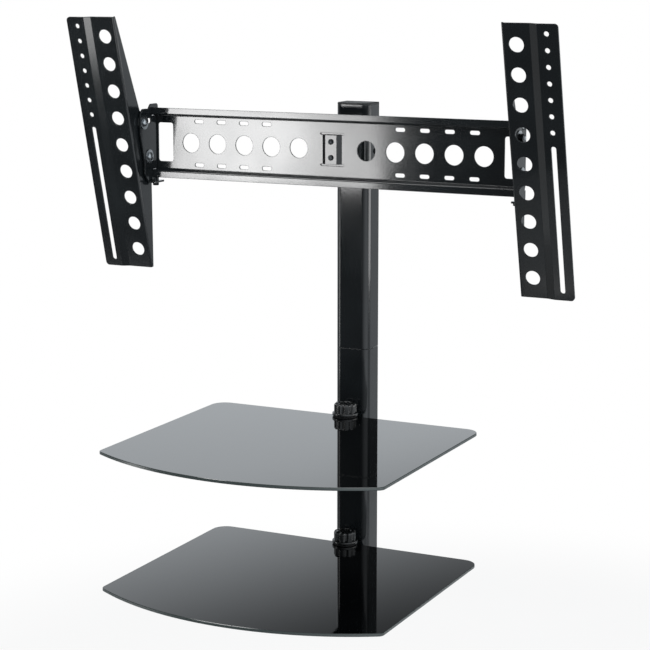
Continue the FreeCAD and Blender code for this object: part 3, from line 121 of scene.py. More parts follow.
# Fasteners as in the CAD. Bolt: width across flats, head height, shank radius and length, pitch
TILT_BOLT = (0.013, 0.0053, 0.004, 0.0192, 0.00125)
# Nuts: width across flats, height, bore radius
TILT_NUT = (0.013, 0.0065, 0.00405)
SWIVEL_NUT = (0.019, 0.009, 0.00605)
# Screws: head radius and height, shank radius and length
COLUMN_SCREW = (0.00475, 0.0026, 0.0025, 0.007)
BRIDGE_SCREW = (0.0045, 0.0025, 0.0025, 0.011)
LOCK_SCREW = (0.005, 0.0045, 0.003, 0.009)

# Where they sit. Pivot bolt and slot bolt of an arm: depth and height
TILT_POINTS = ((-0.142, -0.0225), (-0.15647, 0.0347))
# Their heads and nuts from the middle, then the other seats
TILT_BOLT_SEAT = 0.3234
TILT_NUT_SEAT = 0.3341
SWIVEL_NUT_SEAT = (0, -0.078, -0.0566)
COLUMN_SIDE = 0.03
COLUMN_SCREW_DEPTH = -0.013
COLUMN_SCREW_LEVELS = (-0.72, -0.7, -0.01, 0.01)
COLUMN_SCREW_TURN = 0.3
BRIDGE_FRONT = -0.12
BRIDGE_SCREW_LEVELS = (-0.01275, 0.01275)
LOCK_SCREW_SEAT = (0.32, -0.13, -0.067)

# Lamps: name, place, target, width, height, grid in degrees and power. Key and top lamp light the
# object, side and rear card draw the column's edges. The cards with grids are seen only as sheen:
# two low ones for the crossbar, the right one dimmer, one for the folds of the left arm, and two
# weak ones for the strip and the lower end of the right arm.
OPEN = 180
LAMPS = (
    ("key_lamp", (-1.5, -1.9, 2.0), (0, -0.1, -0.2), 1.2, 1.2, OPEN, 34),
    ("bar_card", (-0.6075, -0.9, -0.07), (-0.1675, 0, 0.02), 0.29, 0.2, 36, 0.148),
    ("bar_card_edge", (-0.355, -0.9, -0.07), (0.085, 0, 0.02), 0.166, 0.2, 36, 0.051),
    ("fold_card", (-0.62, -1.35, -0.37), (-0.38, -0.1, 0.18), 0.45, 0.2, 36, 0.085),
    ("strip_card", (0.086, -0.446, -0.219), (0.38, -0.185, 0), 0.2, 0.55, 36, 0.0061),
    ("foot_card", (0.2505, -0.4491, -0.3344), (0.3817, -0.1508, -0.1025), 0.24, 0.2, 5, 0.00018),
    ("side_card", (-2.0, -1.2, -0.25), (0, -0.1, -0.4), 0.5, 1.5, OPEN, 9),
    ("rear_card", (1.81, 0.85, -0.33), (0.03, -0.02, -0.2), 1.6, 0.45, OPEN, 10),
    ("top_lamp", (0, -0.6, 2.2), (0, -0.2, 0), 1.6, 1.2, OPEN, 14),
)
FLOOR_SIZE = 3.2
FLOOR_BACK = 0.3

# Camera fitted to the photo: place, turn, dip, focal length in pixels, picture and sensor width
CAMERA_PLACE = (1.34975, -2.90741, 0.29581)
CAMERA_TURN = math.radians(26.01)
CAMERA_DIP = math.radians(10.62)
FOCAL_PIXELS = 1938.01
PICTURE_PIXELS = 650
SENSOR = 36.0
CLIP_NEAR, CLIP_FAR = 0.1, 60.0


# Materials

def linear(code):
    """sRGB hex colour as linear RGBA."""
    parts = [int(code[k:k + 2], 16) / 255 for k in (1, 3, 5)]
    return [c / 12.92 if c <= 0.04045 else ((c + 0.055) / 1.055) ** 2.4 for c in parts] + [1.0]


def add_node(tree, kind, settings=None, links=None):
    """Add a node, set its properties and sockets, and link its inputs to other nodes' outputs."""
    node = tree.nodes.new(kind)
    for key, value in (settings or {}).items():
        if isinstance(key, int) or key in node.inputs:
            node.inputs[key].default_value = value
        else:
            setattr(node, key, value)
    for key, output in (links or {}).items():
        tree.links.new(output, node.inputs[key])
    return node


def new_material(name):
    """An empty node material and its surface shader."""
    material = bpy.data.materials.new(name)
    material.use_nodes = True
    tree = material.node_tree
    tree.nodes.clear()
    shader = add_node(tree, "ShaderNodeBsdfPrincipled")
    add_node(tree, "ShaderNodeOutputMaterial", links={"Surface": shader.outputs["BSDF"]})
    return material, tree, shader


def wire(tree, shader, tint, gloss, bump):
    """Give a shader its colour, roughness and bumped normal."""
    tree.links.new(tint.outputs[MIX_OUT], shader.inputs["Base Color"])
    tree.links.new(gloss.outputs["Result"], shader.inputs["Roughness"])
    tree.links.new(bump.outputs["Normal"], shader.inputs["Normal"])


def powder_coat(colours, sizes):
    """Polyester powder coat on folded steel, sprayed and baked: semi-gloss black, its reflections
    a little wavy from orange peel, thin and greyer along the sharp edges."""
    material, tree, shader = new_material("semi_gloss_black_powder_coat")
    place = add_node(tree, "ShaderNodeTexCoord").outputs["Object"]
    # Orange peel is about 2 mm wide; it is drawn wider so that it shows at this distance.
    peel = add_node(tree, "ShaderNodeTexNoise", {"Scale": 1 / sizes.peel_width, "Detail": 3.0},
                    {"Vector": place})
    # The film's thickness drifts over a hand's width and shifts colour and gloss a little.
    drift = add_node(tree, "ShaderNodeTexNoise", {"Scale": 1 / 0.09, "Detail": 2.0},
                     {"Vector": place})
    # Dust nibs in the film, about one in each square centimetre.
    nibs = add_node(tree, "ShaderNodeTexVoronoi", {"Scale": 1 / 0.009}, {"Vector": place})
    nib = add_node(tree, "ShaderNodeMapRange", {"From Min": 0.07, "From Max": 0.0},
                   {"Value": nibs.outputs["Distance"]})
    # Folded and sheared edges are broken under the film to about a millimetre.
    soft = add_node(tree, "ShaderNodeBevel", {"samples": 4, "Radius": sizes.edge_round})
    flat = add_node(tree, "ShaderNodeNewGeometry").outputs["Normal"]
    edge = add_node(tree, "ShaderNodeVectorMath", {"operation": "DOT_PRODUCT"},
                    {0: soft.outputs["Normal"], 1: flat}).outputs["Value"]
    # The film draws back from these edges, which makes them greyer.
    thin = add_node(tree, "ShaderNodeMapRange",
                    {"From Min": 0.99, "From Max": 0.75, "To Max": 0.7}, {"Value": edge})
    body = add_node(tree, "ShaderNodeMapRange", {"From Min": 0.3, "From Max": 0.7},
                    {"Value": drift.outputs["Fac"]})
    film = add_node(tree, "ShaderNodeMix",
                    {"data_type": "RGBA", MIX_A: linear(colours.paint_dark),
                     MIX_B: linear(colours.paint_light)}, {0: body.outputs["Result"]})
    tint = add_node(tree, "ShaderNodeMix",
                    {"data_type": "RGBA", MIX_B: linear(colours.paint_edge)},
                    {0: thin.outputs["Result"], MIX_A: film.outputs[MIX_OUT]})
    gloss = add_node(tree, "ShaderNodeMapRange",
                     {"From Min": 0.3, "From Max": 0.7, "To Min": sizes.paint_gloss - 0.03,
                      "To Max": sizes.paint_gloss + 0.03}, {"Value": drift.outputs["Fac"]})
    height = add_node(tree, "ShaderNodeMath", {"operation": "ADD"},
                      {0: peel.outputs["Fac"], 1: nib.outputs["Result"]})
    bump = add_node(tree, "ShaderNodeBump", {"Strength": 0.10, "Distance": 0.00025},
                    {"Height": height.outputs["Value"], "Normal": soft.outputs["Normal"]})
    wire(tree, shader, tint, gloss, bump)
    shader.inputs["IOR"].default_value = 1.5
    return material


def tempered_glass(colours):
    """Toughened float glass, black right through and polished: a dark mirror with a ground,
    grey-green edge."""
    material, tree, shader = new_material("polished_black_float_glass")
    coords = add_node(tree, "ShaderNodeTexCoord")
    facing = add_node(tree, "ShaderNodeSeparateXYZ", links={"Vector": coords.outputs["Normal"]})
    upright = add_node(tree, "ShaderNodeMath", {"operation": "ABSOLUTE"},
                       {"Value": facing.outputs["Z"]})
    face = add_node(tree, "ShaderNodeMapRange", {"From Min": 0.5, "From Max": 0.9},
                    {"Value": upright.outputs["Value"]}).outputs["Result"]
    tint = add_node(tree, "ShaderNodeMix",
                    {"data_type": "RGBA", MIX_A: linear(colours.glass_edge),
                     MIX_B: linear(colours.glass_face)}, {0: face})
    # Wiping leaves faint smears, a hand wide, that dull the mirror slightly.
    wipe = add_node(tree, "ShaderNodeMapping",
                    {"Scale": (1 / 0.25, 1 / 0.07, 1 / 0.25), "Rotation": (0, 0, 0.5)},
                    {"Vector": coords.outputs["Object"]})
    smear = add_node(tree, "ShaderNodeTexNoise", {"Scale": 1.0, "Detail": 5.0},
                     {"Vector": wipe.outputs["Vector"]})
    clean = add_node(tree, "ShaderNodeMapRange", {"To Min": 0.012, "To Max": 0.05},
                     {"Value": smear.outputs["Fac"]})
    # The ground edge is satin, the faces are polished.
    gloss = add_node(tree, "ShaderNodeMix", {"data_type": "FLOAT", "A": 0.22},
                     {"Factor": face, "B": clean.outputs["Result"]})
    # Toughening rollers leave the glass wavy over a hand's width, enough to bend a reflected line.
    wave = add_node(tree, "ShaderNodeTexNoise", {"Scale": 1 / 0.16, "Detail": 1.0},
                    {"Vector": coords.outputs["Object"]})
    bump = add_node(tree, "ShaderNodeBump", {"Strength": 0.05, "Distance": 0.0004},
                    {"Height": wave.outputs["Fac"]})
    wire(tree, shader, tint, gloss, bump)
    shader.inputs["IOR"].default_value = 1.65
    return material


def phenolic(colours):
    """Pressed phenolic of the clamp knobs: glossy black from a polished mould, with faint flow
    clouds."""
    material, tree, shader = new_material("glossy_black_phenolic")
    place = add_node(tree, "ShaderNodeTexCoord").outputs["Object"]
    # Flow clouds are a few millimetres wide.
    flow = add_node(tree, "ShaderNodeTexNoise", {"Scale": 1 / 0.008, "Detail": 3.0},
                    {"Vector": place})
    # Filler specks are about 0.3 mm; they are drawn wider so that they show.
    speck = add_node(tree, "ShaderNodeTexNoise", {"Scale": 1 / 0.0012, "Detail": 2.0},
                     {"Vector": place})
    tint = add_node(tree, "ShaderNodeMix",
                    {"data_type": "RGBA", MIX_A: linear(colours.knob_dark),
                     MIX_B: linear(colours.knob_light)}, {0: flow.outputs["Fac"]})
    gloss = add_node(tree, "ShaderNodeMapRange", {"To Min": 0.2, "To Max": 0.32},
                     {"Value": flow.outputs["Fac"]})
    bump = add_node(tree, "ShaderNodeBump", {"Strength": 0.08, "Distance": 0.0001},
                    {"Height": speck.outputs["Fac"]})
    wire(tree, shader, tint, gloss, bump)
    shader.inputs["IOR"].default_value = 1.6
    return material


def polypropylene(colours):
    """Injection moulded polypropylene of the caps and friction washers: matte black with
    spark-eroded grain."""
    material, tree, shader = new_material("matte_black_polypropylene")
    place = add_node(tree, "ShaderNodeTexCoord").outputs["Object"]
    # Spark grain is about 0.3 mm; it is drawn wider so that it shows at this distance.
    grain = add_node(tree, "ShaderNodeTexNoise", {"Scale": 1 / 0.0018, "Detail": 4.0},
                     {"Vector": place})
    # Flow marks from the gate shift colour and gloss over a finger's width.
    flow = add_node(tree, "ShaderNodeTexNoise", {"Scale": 1 / 0.025, "Detail": 2.0},
                    {"Vector": place})
    tint = add_node(tree, "ShaderNodeMix",
                    {"data_type": "RGBA", MIX_A: linear(colours.cap_dark),
                     MIX_B: linear(colours.cap_light)}, {0: flow.outputs["Fac"]})
    gloss = add_node(tree, "ShaderNodeMapRange", {"To Min": 0.4, "To Max": 0.55},
                     {"Value": flow.outputs["Fac"]})
    # Moulded edges are round and catch a soft line of light.
    soft = add_node(tree, "ShaderNodeBevel", {"samples": 4, "Radius": 0.0008})
    bump = add_node(tree, "ShaderNodeBump", {"Strength": 0.25, "Distance": 0.00015},
                    {"Height": grain.outputs["Fac"], "Normal": soft.outputs["Normal"]})
    wire(tree, shader, tint, gloss, bump)
    shader.inputs["IOR"].default_value = 1.49
    return material


def zinc_plate(colours):
    """Bright zinc plate on turned and pressed steel: bluish metal, cloudy where the passivation is
    uneven."""
    material, tree, shader = new_material("bright_zinc_plated_steel")
    place = add_node(tree, "ShaderNodeTexCoord").outputs["Object"]
    # Passivation clouds are a few millimetres wide.
    cloud = add_node(tree, "ShaderNodeTexNoise", {"Scale": 1 / 0.006, "Detail": 4.0},
                     {"Vector": place})
    share = add_node(tree, "ShaderNodeMapRange", {"From Min": 0.3, "From Max": 0.75},
                     {"Value": cloud.outputs["Fac"]})
    tint = add_node(tree, "ShaderNodeMix",
                    {"data_type": "RGBA", MIX_A: linear(colours.zinc_dark),
                     MIX_B: linear(colours.zinc_light)}, {0: share.outputs["Result"]})
    gloss = add_node(tree, "ShaderNodeMapRange", {"To Min": 0.18, "To Max": 0.36},
                     {"Value": cloud.outputs["Fac"]})
    # Turning marks are about 0.1 mm; they are drawn wider so that they show.
    marks = add_node(tree, "ShaderNodeTexNoise", {"Scale": 1 / 0.0012, "Detail": 2.0},
                     {"Vector": place})
    bump = add_node(tree, "ShaderNodeBump", {"Strength": 0.06, "Distance": 0.0001},
                    {"Height": marks.outputs["Fac"]})
    wire(tree, shader, tint, gloss, bump)
    shader.inputs["Metallic"].default_value = 1.0
    return material


def black_oxide(colours):
    """Blackened and oiled steel of the screws and nuts: dark metal, a little rubbed where tools
    touch it."""
    material, tree, shader = new_material("blackened_steel")
    place = add_node(tree, "ShaderNodeTexCoord").outputs["Object"]
    # Rubbed spots are a few millimetres wide, paler and rougher.
    rub = add_node(tree, "ShaderNodeTexNoise", {"Scale": 1 / 0.003, "Detail": 4.0},
                   {"Vector": place})
    share = add_node(tree, "ShaderNodeMapRange", {"From Min": 0.45, "From Max": 0.8},
                     {"Value": rub.outputs["Fac"]})
    tint = add_node(tree, "ShaderNodeMix",
                    {"data_type": "RGBA", MIX_A: linear(colours.screw_dark),
                     MIX_B: linear(colours.screw_light)}, {0: share.outputs["Result"]})
    gloss = add_node(tree, "ShaderNodeMapRange", {"To Min": 0.28, "To Max": 0.45},
                     {"Value": rub.outputs["Fac"]})
    bump = add_node(tree, "ShaderNodeBump", {"Strength": 0.1, "Distance": 0.0001},
                    {"Height": rub.outputs["Fac"]})
    wire(tree, shader, tint, gloss, bump)
    shader.inputs["Metallic"].default_value = 1.0
    return material


def pad_rubber(colours):
    """Moulded rubber of the pads and gaskets: matte, dusty black with a pimpled skin."""
    material, tree, shader = new_material("moulded_black_rubber")
    place = add_node(tree, "ShaderNodeTexCoord").outputs["Object"]
    # Pimples of the mould, a millimetre or two wide, and patches of dust, about a finger wide.
    skin = add_node(tree, "ShaderNodeTexNoise", {"Scale": 1 / 0.0015, "Detail": 3.0},
                    {"Vector": place})
    dust = add_node(tree, "ShaderNodeTexNoise", {"Scale": 1 / 0.012, "Detail": 4.0},
                    {"Vector": place})
    share = add_node(tree, "ShaderNodeMapRange", {"From Min": 0.35, "From Max": 0.8},
                     {"Value": dust.outputs["Fac"]})
    tint = add_node(tree, "ShaderNodeMix",
                    {"data_type": "RGBA", MIX_A: linear(colours.rubber_dark),
                     MIX_B: linear(colours.rubber_light)}, {0: share.outputs["Result"]})
    gloss = add_node(tree, "ShaderNodeMapRange", {"To Min": 0.7, "To Max": 0.9},
                     {"Value": dust.outputs["Fac"]})
    bump = add_node(tree, "ShaderNodeBump", {"Strength": 0.3, "Distance": 0.0002},
                    {"Height": skin.outputs["Fac"]})
    wire(tree, shader, tint, gloss, bump)
    return material


def curve_smoothing():
    """Geometry nodes that join a solid's triangles and smooth its curved faces, with sharp folds
    kept."""
    tree = bpy.data.node_groups.new("smooth_curved_faces", "GeometryNodeTree")
    for way in ("INPUT", "OUTPUT"):
        tree.interface.new_socket("Geometry", in_out=way, socket_type="NodeSocketGeometry")
    solid = add_node(tree, "NodeGroupInput").outputs["Geometry"]
    joined = add_node(tree, "GeometryNodeMergeByDistance", {"Distance": JOIN_DISTANCE},
                      {"Geometry": solid})
    fold = add_node(tree, "GeometryNodeInputMeshEdgeAngle").outputs["Unsigned Angle"]
    sharp = add_node(tree, "FunctionNodeCompare",
                     {"data_type": "FLOAT", "operation": "GREATER_THAN", 1: SMOOTH_ANGLE},
                     {0: fold})
    faces = add_node(tree, "GeometryNodeSetShadeSmooth", {"domain": "FACE"},
                     {0: joined.outputs["Geometry"]})
    edges = add_node(tree, "GeometryNodeSetShadeSmooth", {"domain": "EDGE", "Shade Smooth": False},
                     {0: faces.outputs[0], "Selection": sharp.outputs["Result"]})
    add_node(tree, "NodeGroupOutput", links={"Geometry": edges.outputs[0]})
    return tree


def finish_nodes(names, material):
    """Give pieces of the frame their material and smooth their bends and bores."""
    smoothing = bpy.data.node_groups.get("smooth_curved_faces") or curve_smoothing()
    for name in names:
        piece = NODES[name]
        piece.data.materials.clear()
        piece.data.materials.append(material)
        piece.modifiers.new("smooth_curves", "NODES").node_group = smoothing
        flat = piece.modifiers.new("flat_faces", "WEIGHTED_NORMAL")
        flat.keep_sharp = True
        flat.weight = FLAT_WEIGHT


# Modelling by hand

def add_piece(add, **settings):
    """Add a primitive as the only selected piece."""
    bpy.ops.object.select_all(action="DESELECT")
    add(**settings)
    return bpy.context.object


def add_cylinder(points, radius, low, high):
    """Add a cylinder about the vertical axis, with its origin at the world's."""
    cylinder = add_piece(bpy.ops.mesh.primitive_cylinder_add, vertices=points, radius=radius,
                         depth=high - low, location=(0, 0, (low + high) / 2))
    bpy.ops.object.transform_apply(location=True)
    return cylinder


def pick(piece, kind, test):
    """Select the faces, edges or vertices of a piece that pass a test, and stay in edit mode."""
    bpy.ops.object.mode_set(mode="EDIT")
    bpy.ops.mesh.select_mode(type=kind)
    bpy.ops.mesh.select_all(action="DESELECT")
    bpy.ops.object.mode_set(mode="OBJECT")
    mesh = piece.data
    for item in {"FACE": mesh.polygons, "EDGE": mesh.edges, "VERT": mesh.vertices}[kind]:
        item.select = test(item)
    bpy.ops.object.mode_set(mode="EDIT")


def is_top(face):
    """Whether a face looks up."""
    return face.normal.z > LEVEL


def is_underside(face):
    """Whether a face looks down."""
    return face.normal.z < -LEVEL


def draw_in(scale):
    """Scale what is selected about the vertical axis."""
    bpy.ops.transform.resize(value=(scale, scale, 1.0), center_override=(0, 0, 0))


def raise_faces(rise, scale=1.0):
    """Extrude the selected faces upwards and scale them about the vertical axis."""
    bpy.ops.mesh.extrude_region_move(TRANSFORM_OT_translate={"value": (0, 0, rise)})
    if scale != 1.0:
        draw_in(scale)


def carve(piece, cutter, operation):
    """Cut a piece with another one, or keep what they share, and remove the cutter."""
    bpy.ops.object.mode_set(mode="OBJECT")
    bpy.ops.object.select_all(action="DESELECT")
    piece.select_set(True)
    bpy.context.view_layer.objects.active = piece
    bpy.ops.object.modifier_add(type="BOOLEAN")
    cut = piece.modifiers[-1]
    cut.operation = operation
    cut.object = cutter
    bpy.ops.object.modifier_apply(modifier=cut.name)
    drop_model(cutter)
    piece.select_set(True)
    bpy.context.view_layer.objects.active = piece


def copies(model, name, places):
    """Copy a modelled piece to each place and turn, put the places into the meshes and join the
    copies."""
    made = []
    for place, turn in places:
        bpy.ops.object.select_all(action="DESELECT")
        model.select_set(True)
        bpy.context.view_layer.objects.active = model
        bpy.ops.object.duplicate()
        copy = bpy.context.object
        copy.location = place
        copy.rotation_euler = turn
        bpy.ops.object.transform_apply(location=True, rotation=True, scale=True)
        made.append(copy)
    for copy in made:
        copy.select_set(True)
    bpy.context.view_layer.objects.active = made[0]
    if len(made) > 1:
        bpy.ops.object.join()
    bpy.ops.object.shade_smooth_by_angle(angle=SMOOTH_ANGLE)
    piece = bpy.context.object
    piece.name = name
    piece.data.name = name
    return piece


def drop_model(model):
    """Remove a model or cutter that has done its work."""
    bpy.ops.object.select_all(action="DESELECT")
    model.select_set(True)
    bpy.ops.object.delete()


def hand_over(piece, node, body, material):
    """Let a finished piece stand for its node and move with the node's body."""
    piece.data.materials.clear()
    piece.data.materials.append(material)
    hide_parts(node)
    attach(piece, body)


def knob_model(sizes):
    """Clamp knob: washer face, finger flutes, rounded shoulder and dished top, foot at the
    origin."""
    rim = sizes.knob_flange
    grip = sizes.knob_grip
    level = sizes.knob_flange_rise + FLUTE_FOOT
    pitch = math.tau / KNOB_FLUTES
    knob = add_cylinder(KNOB_POINTS, rim, 0, sizes.knob_flange_rise)
    pick(knob, "FACE", is_top)
    bpy.ops.mesh.inset(thickness=rim - grip)
    raise_faces(FLUTE_FOOT)

    def from_flute(point):
        turn = math.atan2(point.co.y, point.co.x)
        return abs((turn + pitch / 2) % pitch - pitch / 2)

    # Flutes: the points at each angle from their flutes are drawn in to the flutes' arcs.
    for step in range(KNOB_POINTS // KNOB_FLUTES // 2):
        angle = step * math.tau / KNOB_POINTS
        across = sizes.flute_circle * math.sin(angle)
        if across >= sizes.flute_radius:
            break
        arc = math.sqrt(sizes.flute_radius ** 2 - across ** 2)
        reach = sizes.flute_circle * math.cos(angle) - arc
        if reach >= grip:
            break
        pick(knob, "VERT", lambda point: abs(point.co.z - level) < NEAR
             and abs(from_flute(point) - angle) < NEAR_ANGLE)
        draw_in(reach / grip)
    pick(knob, "FACE", lambda face: is_top(face) and face.center.z > level - NEAR
         and face.area > TOP_AREA)
    raise_faces(sizes.knob_rise - level)
    bpy.ops.mesh.bevel(**KNOB_SHOULDER, affect="EDGES")
    pick(knob, "FACE", lambda face: face.center.z > sizes.knob_rise - NEAR
         and face.area > TOP_AREA)
    for rise, scale in KNOB_DISH:
        raise_faces(rise, scale)

    def on_rim(edge):
        ends = [knob.data.vertices[k].co for k in edge.vertices]
        return (abs(ends[0].z - ends[1].z) < NEAR
                and all(math.hypot(*end.xy) > rim - NEAR for end in ends))

    # Rims of the washer face
    pick(knob, "EDGE", on_rim)
    bpy.ops.mesh.bevel(**KNOB_RIM, affect="EDGES")
    bpy.ops.object.mode_set(mode="OBJECT")
    return knob


def hex_model(across, rise, both_ends):
    """Hexagon standing on the origin, with a domed top, or with the turned 30 degree chamfer on
    both ends."""
    block = add_cylinder(6, across / math.sqrt(3), 0, rise)
    if not both_ends:
        dome = HEAD_DOME * across
        ball = add_piece(bpy.ops.mesh.primitive_uv_sphere_add, segments=DOME_POINTS,
                         ring_count=DOME_RINGS, radius=dome, location=(0, 0, rise - dome))
        carve(block, ball, "INTERSECT")
        return block
    small = CHAMFER_FLAT * across
    large = small + rise * math.sqrt(3)
    for low, high in ((large, small), (small, large)):
        cone = add_piece(bpy.ops.mesh.primitive_cone_add, vertices=CHAMFER_POINTS, radius1=low,
                         radius2=high, depth=rise, location=(0, 0, rise / 2))
        carve(block, cone, "INTERSECT")
    return block


def thread_model(radius, length, pitch):
    """Threaded shank hanging below the origin, drawn as rings, with a chamfered end."""
    shank = add_cylinder(THREAD_POINTS, radius, -pitch, 0)
    pick(shank, "FACE", is_underside)
    root = 1 - THREAD_DEPTH * pitch / radius
    turns = int((length - 2 * pitch) / pitch)
    for _ in range(turns):
        raise_faces(-pitch / 2, root)
        raise_faces(-pitch / 2, 1 / root)
    raise_faces(-(length - pitch * (turns + 1)), root)
    bpy.ops.object.mode_set(mode="OBJECT")
    return shank


def bolt_model(across, rise, radius, length, pitch):
    """Hexagon bolt with its head above the origin and its thread below."""
    head = hex_model(across, rise, False)
    thread_model(radius, length, pitch)
    head.select_set(True)
    bpy.context.view_layer.objects.active = head
    bpy.ops.object.join()
    return bpy.context.object


def nut_model(across, rise, radius):
    """Hexagon nut with a countersunk bore, standing on the origin."""
    nut = hex_model(across, rise, True)
    wide, narrow, sink = radius * SINK_WIDE, radius * SINK_NARROW, radius * SINK_DEPTH
    for low, high, depth, place in ((radius, radius, rise * 2, rise / 2),
                                    (wide, narrow, sink, sink / 2),
                                    (narrow, wide, sink, rise - sink / 2)):
        cone = add_piece(bpy.ops.mesh.primitive_cone_add, vertices=BORE_POINTS, radius1=low,
                         radius2=high, depth=depth, location=(0, 0, place))
        carve(nut, cone, "DIFFERENCE")
    return nut


def screw_model(head, rise, radius, length, style):
    """Screw with a domed or knurled head above the origin, a hexagon socket in it and a shank
    below."""
    groove, bevel, steps = style
    screw = add_cylinder(HEAD_POINTS, head, 0, rise)
    if groove < 1:
        pick(screw, "VERT", lambda point: round(
            math.atan2(point.co.y, point.co.x) / math.tau * HEAD_POINTS) % 2 == 0)
        draw_in(groove)
    pick(screw, "FACE", is_top)
    bpy.ops.mesh.bevel(offset=rise * bevel, segments=steps, affect="EDGES")
    pick(screw, "FACE", is_underside)
    bpy.ops.mesh.inset(thickness=head * groove - radius)
    raise_faces(-(length - radius * TIP_LENGTH))
    raise_faces(-radius * TIP_LENGTH, TIP_TAPER)
    bpy.ops.object.mode_set(mode="OBJECT")
    socket = add_piece(bpy.ops.mesh.primitive_cylinder_add, vertices=6,
                       radius=head * SOCKET_RADIUS, depth=rise,
                       location=(0, 0, rise * SOCKET_LEVEL))
    carve(screw, socket, "DIFFERENCE")
    return screw


class StandSizes(bpy.types.PropertyGroup):
    """Sizes of the modelled pieces, the finishes and the stage."""

    knob_flange: FloatProperty(
        name="Knob washer face", description="Radius of the knob's washer face",
        default=0.0215, min=0.01, unit="LENGTH")
    knob_flange_rise: FloatProperty(
        name="Washer face height", description="Height of the knob's washer face",
        default=0.005, min=0.001, unit="LENGTH")
    knob_grip: FloatProperty(
        name="Knob grip", description="Radius over the knob's lobes",
        default=0.0186, min=0.008, unit="LENGTH")
    knob_rise: FloatProperty(
        name="Knob height", description="Height of the knob",
        default=0.021, min=0.01, unit="LENGTH")
    flute_radius: FloatProperty(
        name="Flute", description="Radius of the finger flutes",
        default=0.0045, min=0.001, unit="LENGTH")
    flute_circle: FloatProperty(
        name="Flute circle", description="Flute centres from the knob's axis",
        default=0.0206, min=0.01, unit="LENGTH")
    edge_round: FloatProperty(
        name="Paint edge", description="Radius of the film over a sheet edge",
        default=0.0012, min=0.0001, unit="LENGTH")
    peel_width: FloatProperty(
        name="Orange peel", description="Width of the ripples in the powder coat",
        default=0.004, min=0.001, unit="LENGTH")
    paint_gloss: FloatProperty(
        name="Paint roughness", description="Mean roughness of the powder coat",
        default=0.14, min=0.05, max=0.9, subtype="FACTOR")
    floor_drop: FloatProperty(
        name="Floor below crossbar", description="Height of the crossbar above the floor",
        default=1.15, min=0.8, unit="LENGTH")


class StandColours(bpy.types.PropertyGroup):
    """Colours as sRGB hex codes."""

    paint_dark: StringProperty(
        name="Paint, thick", description="Powder coat where the film is thick", default="#121517")
    paint_light: StringProperty(
        name="Paint, thin", description="Powder coat where the film is thin", default="#191d1f")
    paint_edge: StringProperty(
        name="Paint, edges", description="Powder coat along sharp edges", default="#2b2f31")
    glass_face: StringProperty(
        name="Glass", description="Black glass seen through its top", default="#050607")
    glass_edge: StringProperty(
        name="Glass edge", description="Ground edge of the glass", default="#3c4443")
    knob_dark: StringProperty(
        name="Knob, dark", description="Knob plastic, dark", default="#0d0f10")
    knob_light: StringProperty(
        name="Knob, light", description="Knob plastic, light", default="#141718")
    cap_dark: StringProperty(
        name="Cap, dark", description="Cap plastic, dark", default="#17191a")
    cap_light: StringProperty(
        name="Cap, light", description="Cap plastic, light", default="#1f2223")
    zinc_dark: StringProperty(
        name="Zinc, cloudy", description="Zinc where it is cloudy", default="#85898c")
    zinc_light: StringProperty(
        name="Zinc, bright", description="Zinc where it is bright", default="#b4b8bb")
    screw_dark: StringProperty(
        name="Screw", description="Blackened steel", default="#1d1f21")
    screw_light: StringProperty(
        name="Screw, rubbed", description="Blackened steel, rubbed", default="#45484b")
    rubber_dark: StringProperty(
        name="Rubber", description="Clean rubber", default="#101011")
    rubber_light: StringProperty(
        name="Rubber, dusty", description="Dusty rubber", default="#1d1d1e")
    floor: StringProperty(
        name="Floor", description="Pale studio floor", default="#f0f1f1")
    backdrop: StringProperty(
        name="Backdrop", description="White backdrop as surfaces reflect it", default="#f2f8fd")


class STAND_OT_painted_steel(bpy.types.Operator):
    """Coat the column, crossbar, arms and brackets"""

    bl_idname = "stand.painted_steel"
    bl_label = "Painted steel"

    def execute(self, context):
        scene = context.scene
        finish_nodes(PAINTED_STEEL, powder_coat(scene.stand_colours, scene.stand_sizes))
        return {"FINISHED"}


class STAND_OT_glass_shelves(bpy.types.Operator):
    """Polish the glass shelves"""

    bl_idname = "stand.glass_shelves"
    bl_label = "Glass shelves"

    def execute(self, context):
        finish_nodes(GLASS, tempered_glass(context.scene.stand_colours))
        return {"FINISHED"}


class STAND_OT_clamp_knobs(bpy.types.Operator):
    """Model the two clamp knobs"""

    bl_idname = "stand.clamp_knobs"
    bl_label = "Clamp knobs"

    def execute(self, context):
        material = phenolic(context.scene.stand_colours)
        model = knob_model(context.scene.stand_sizes)
        for level, turn in KNOB_TURNS:
            low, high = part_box("shelf_knob_" + level)
            foot = ((low[0] + high[0]) / 2, (low[1] + high[1]) / 2, low[2])
            knob = copies(model, "clamp_knob_" + level, ((foot, (0, 0, turn)),))
            hand_over(knob, "shelf_knob_" + level, "knob_" + level, material)
        drop_model(model)
        return {"FINISHED"}


class STAND_OT_column_caps(bpy.types.Operator):
    """Mould the column caps and the friction washers"""

    bl_idname = "stand.column_caps"
    bl_label = "Column caps"

    def execute(self, context):
        finish_nodes(MOULDED_CAPS, polypropylene(context.scene.stand_colours))
        return {"FINISHED"}


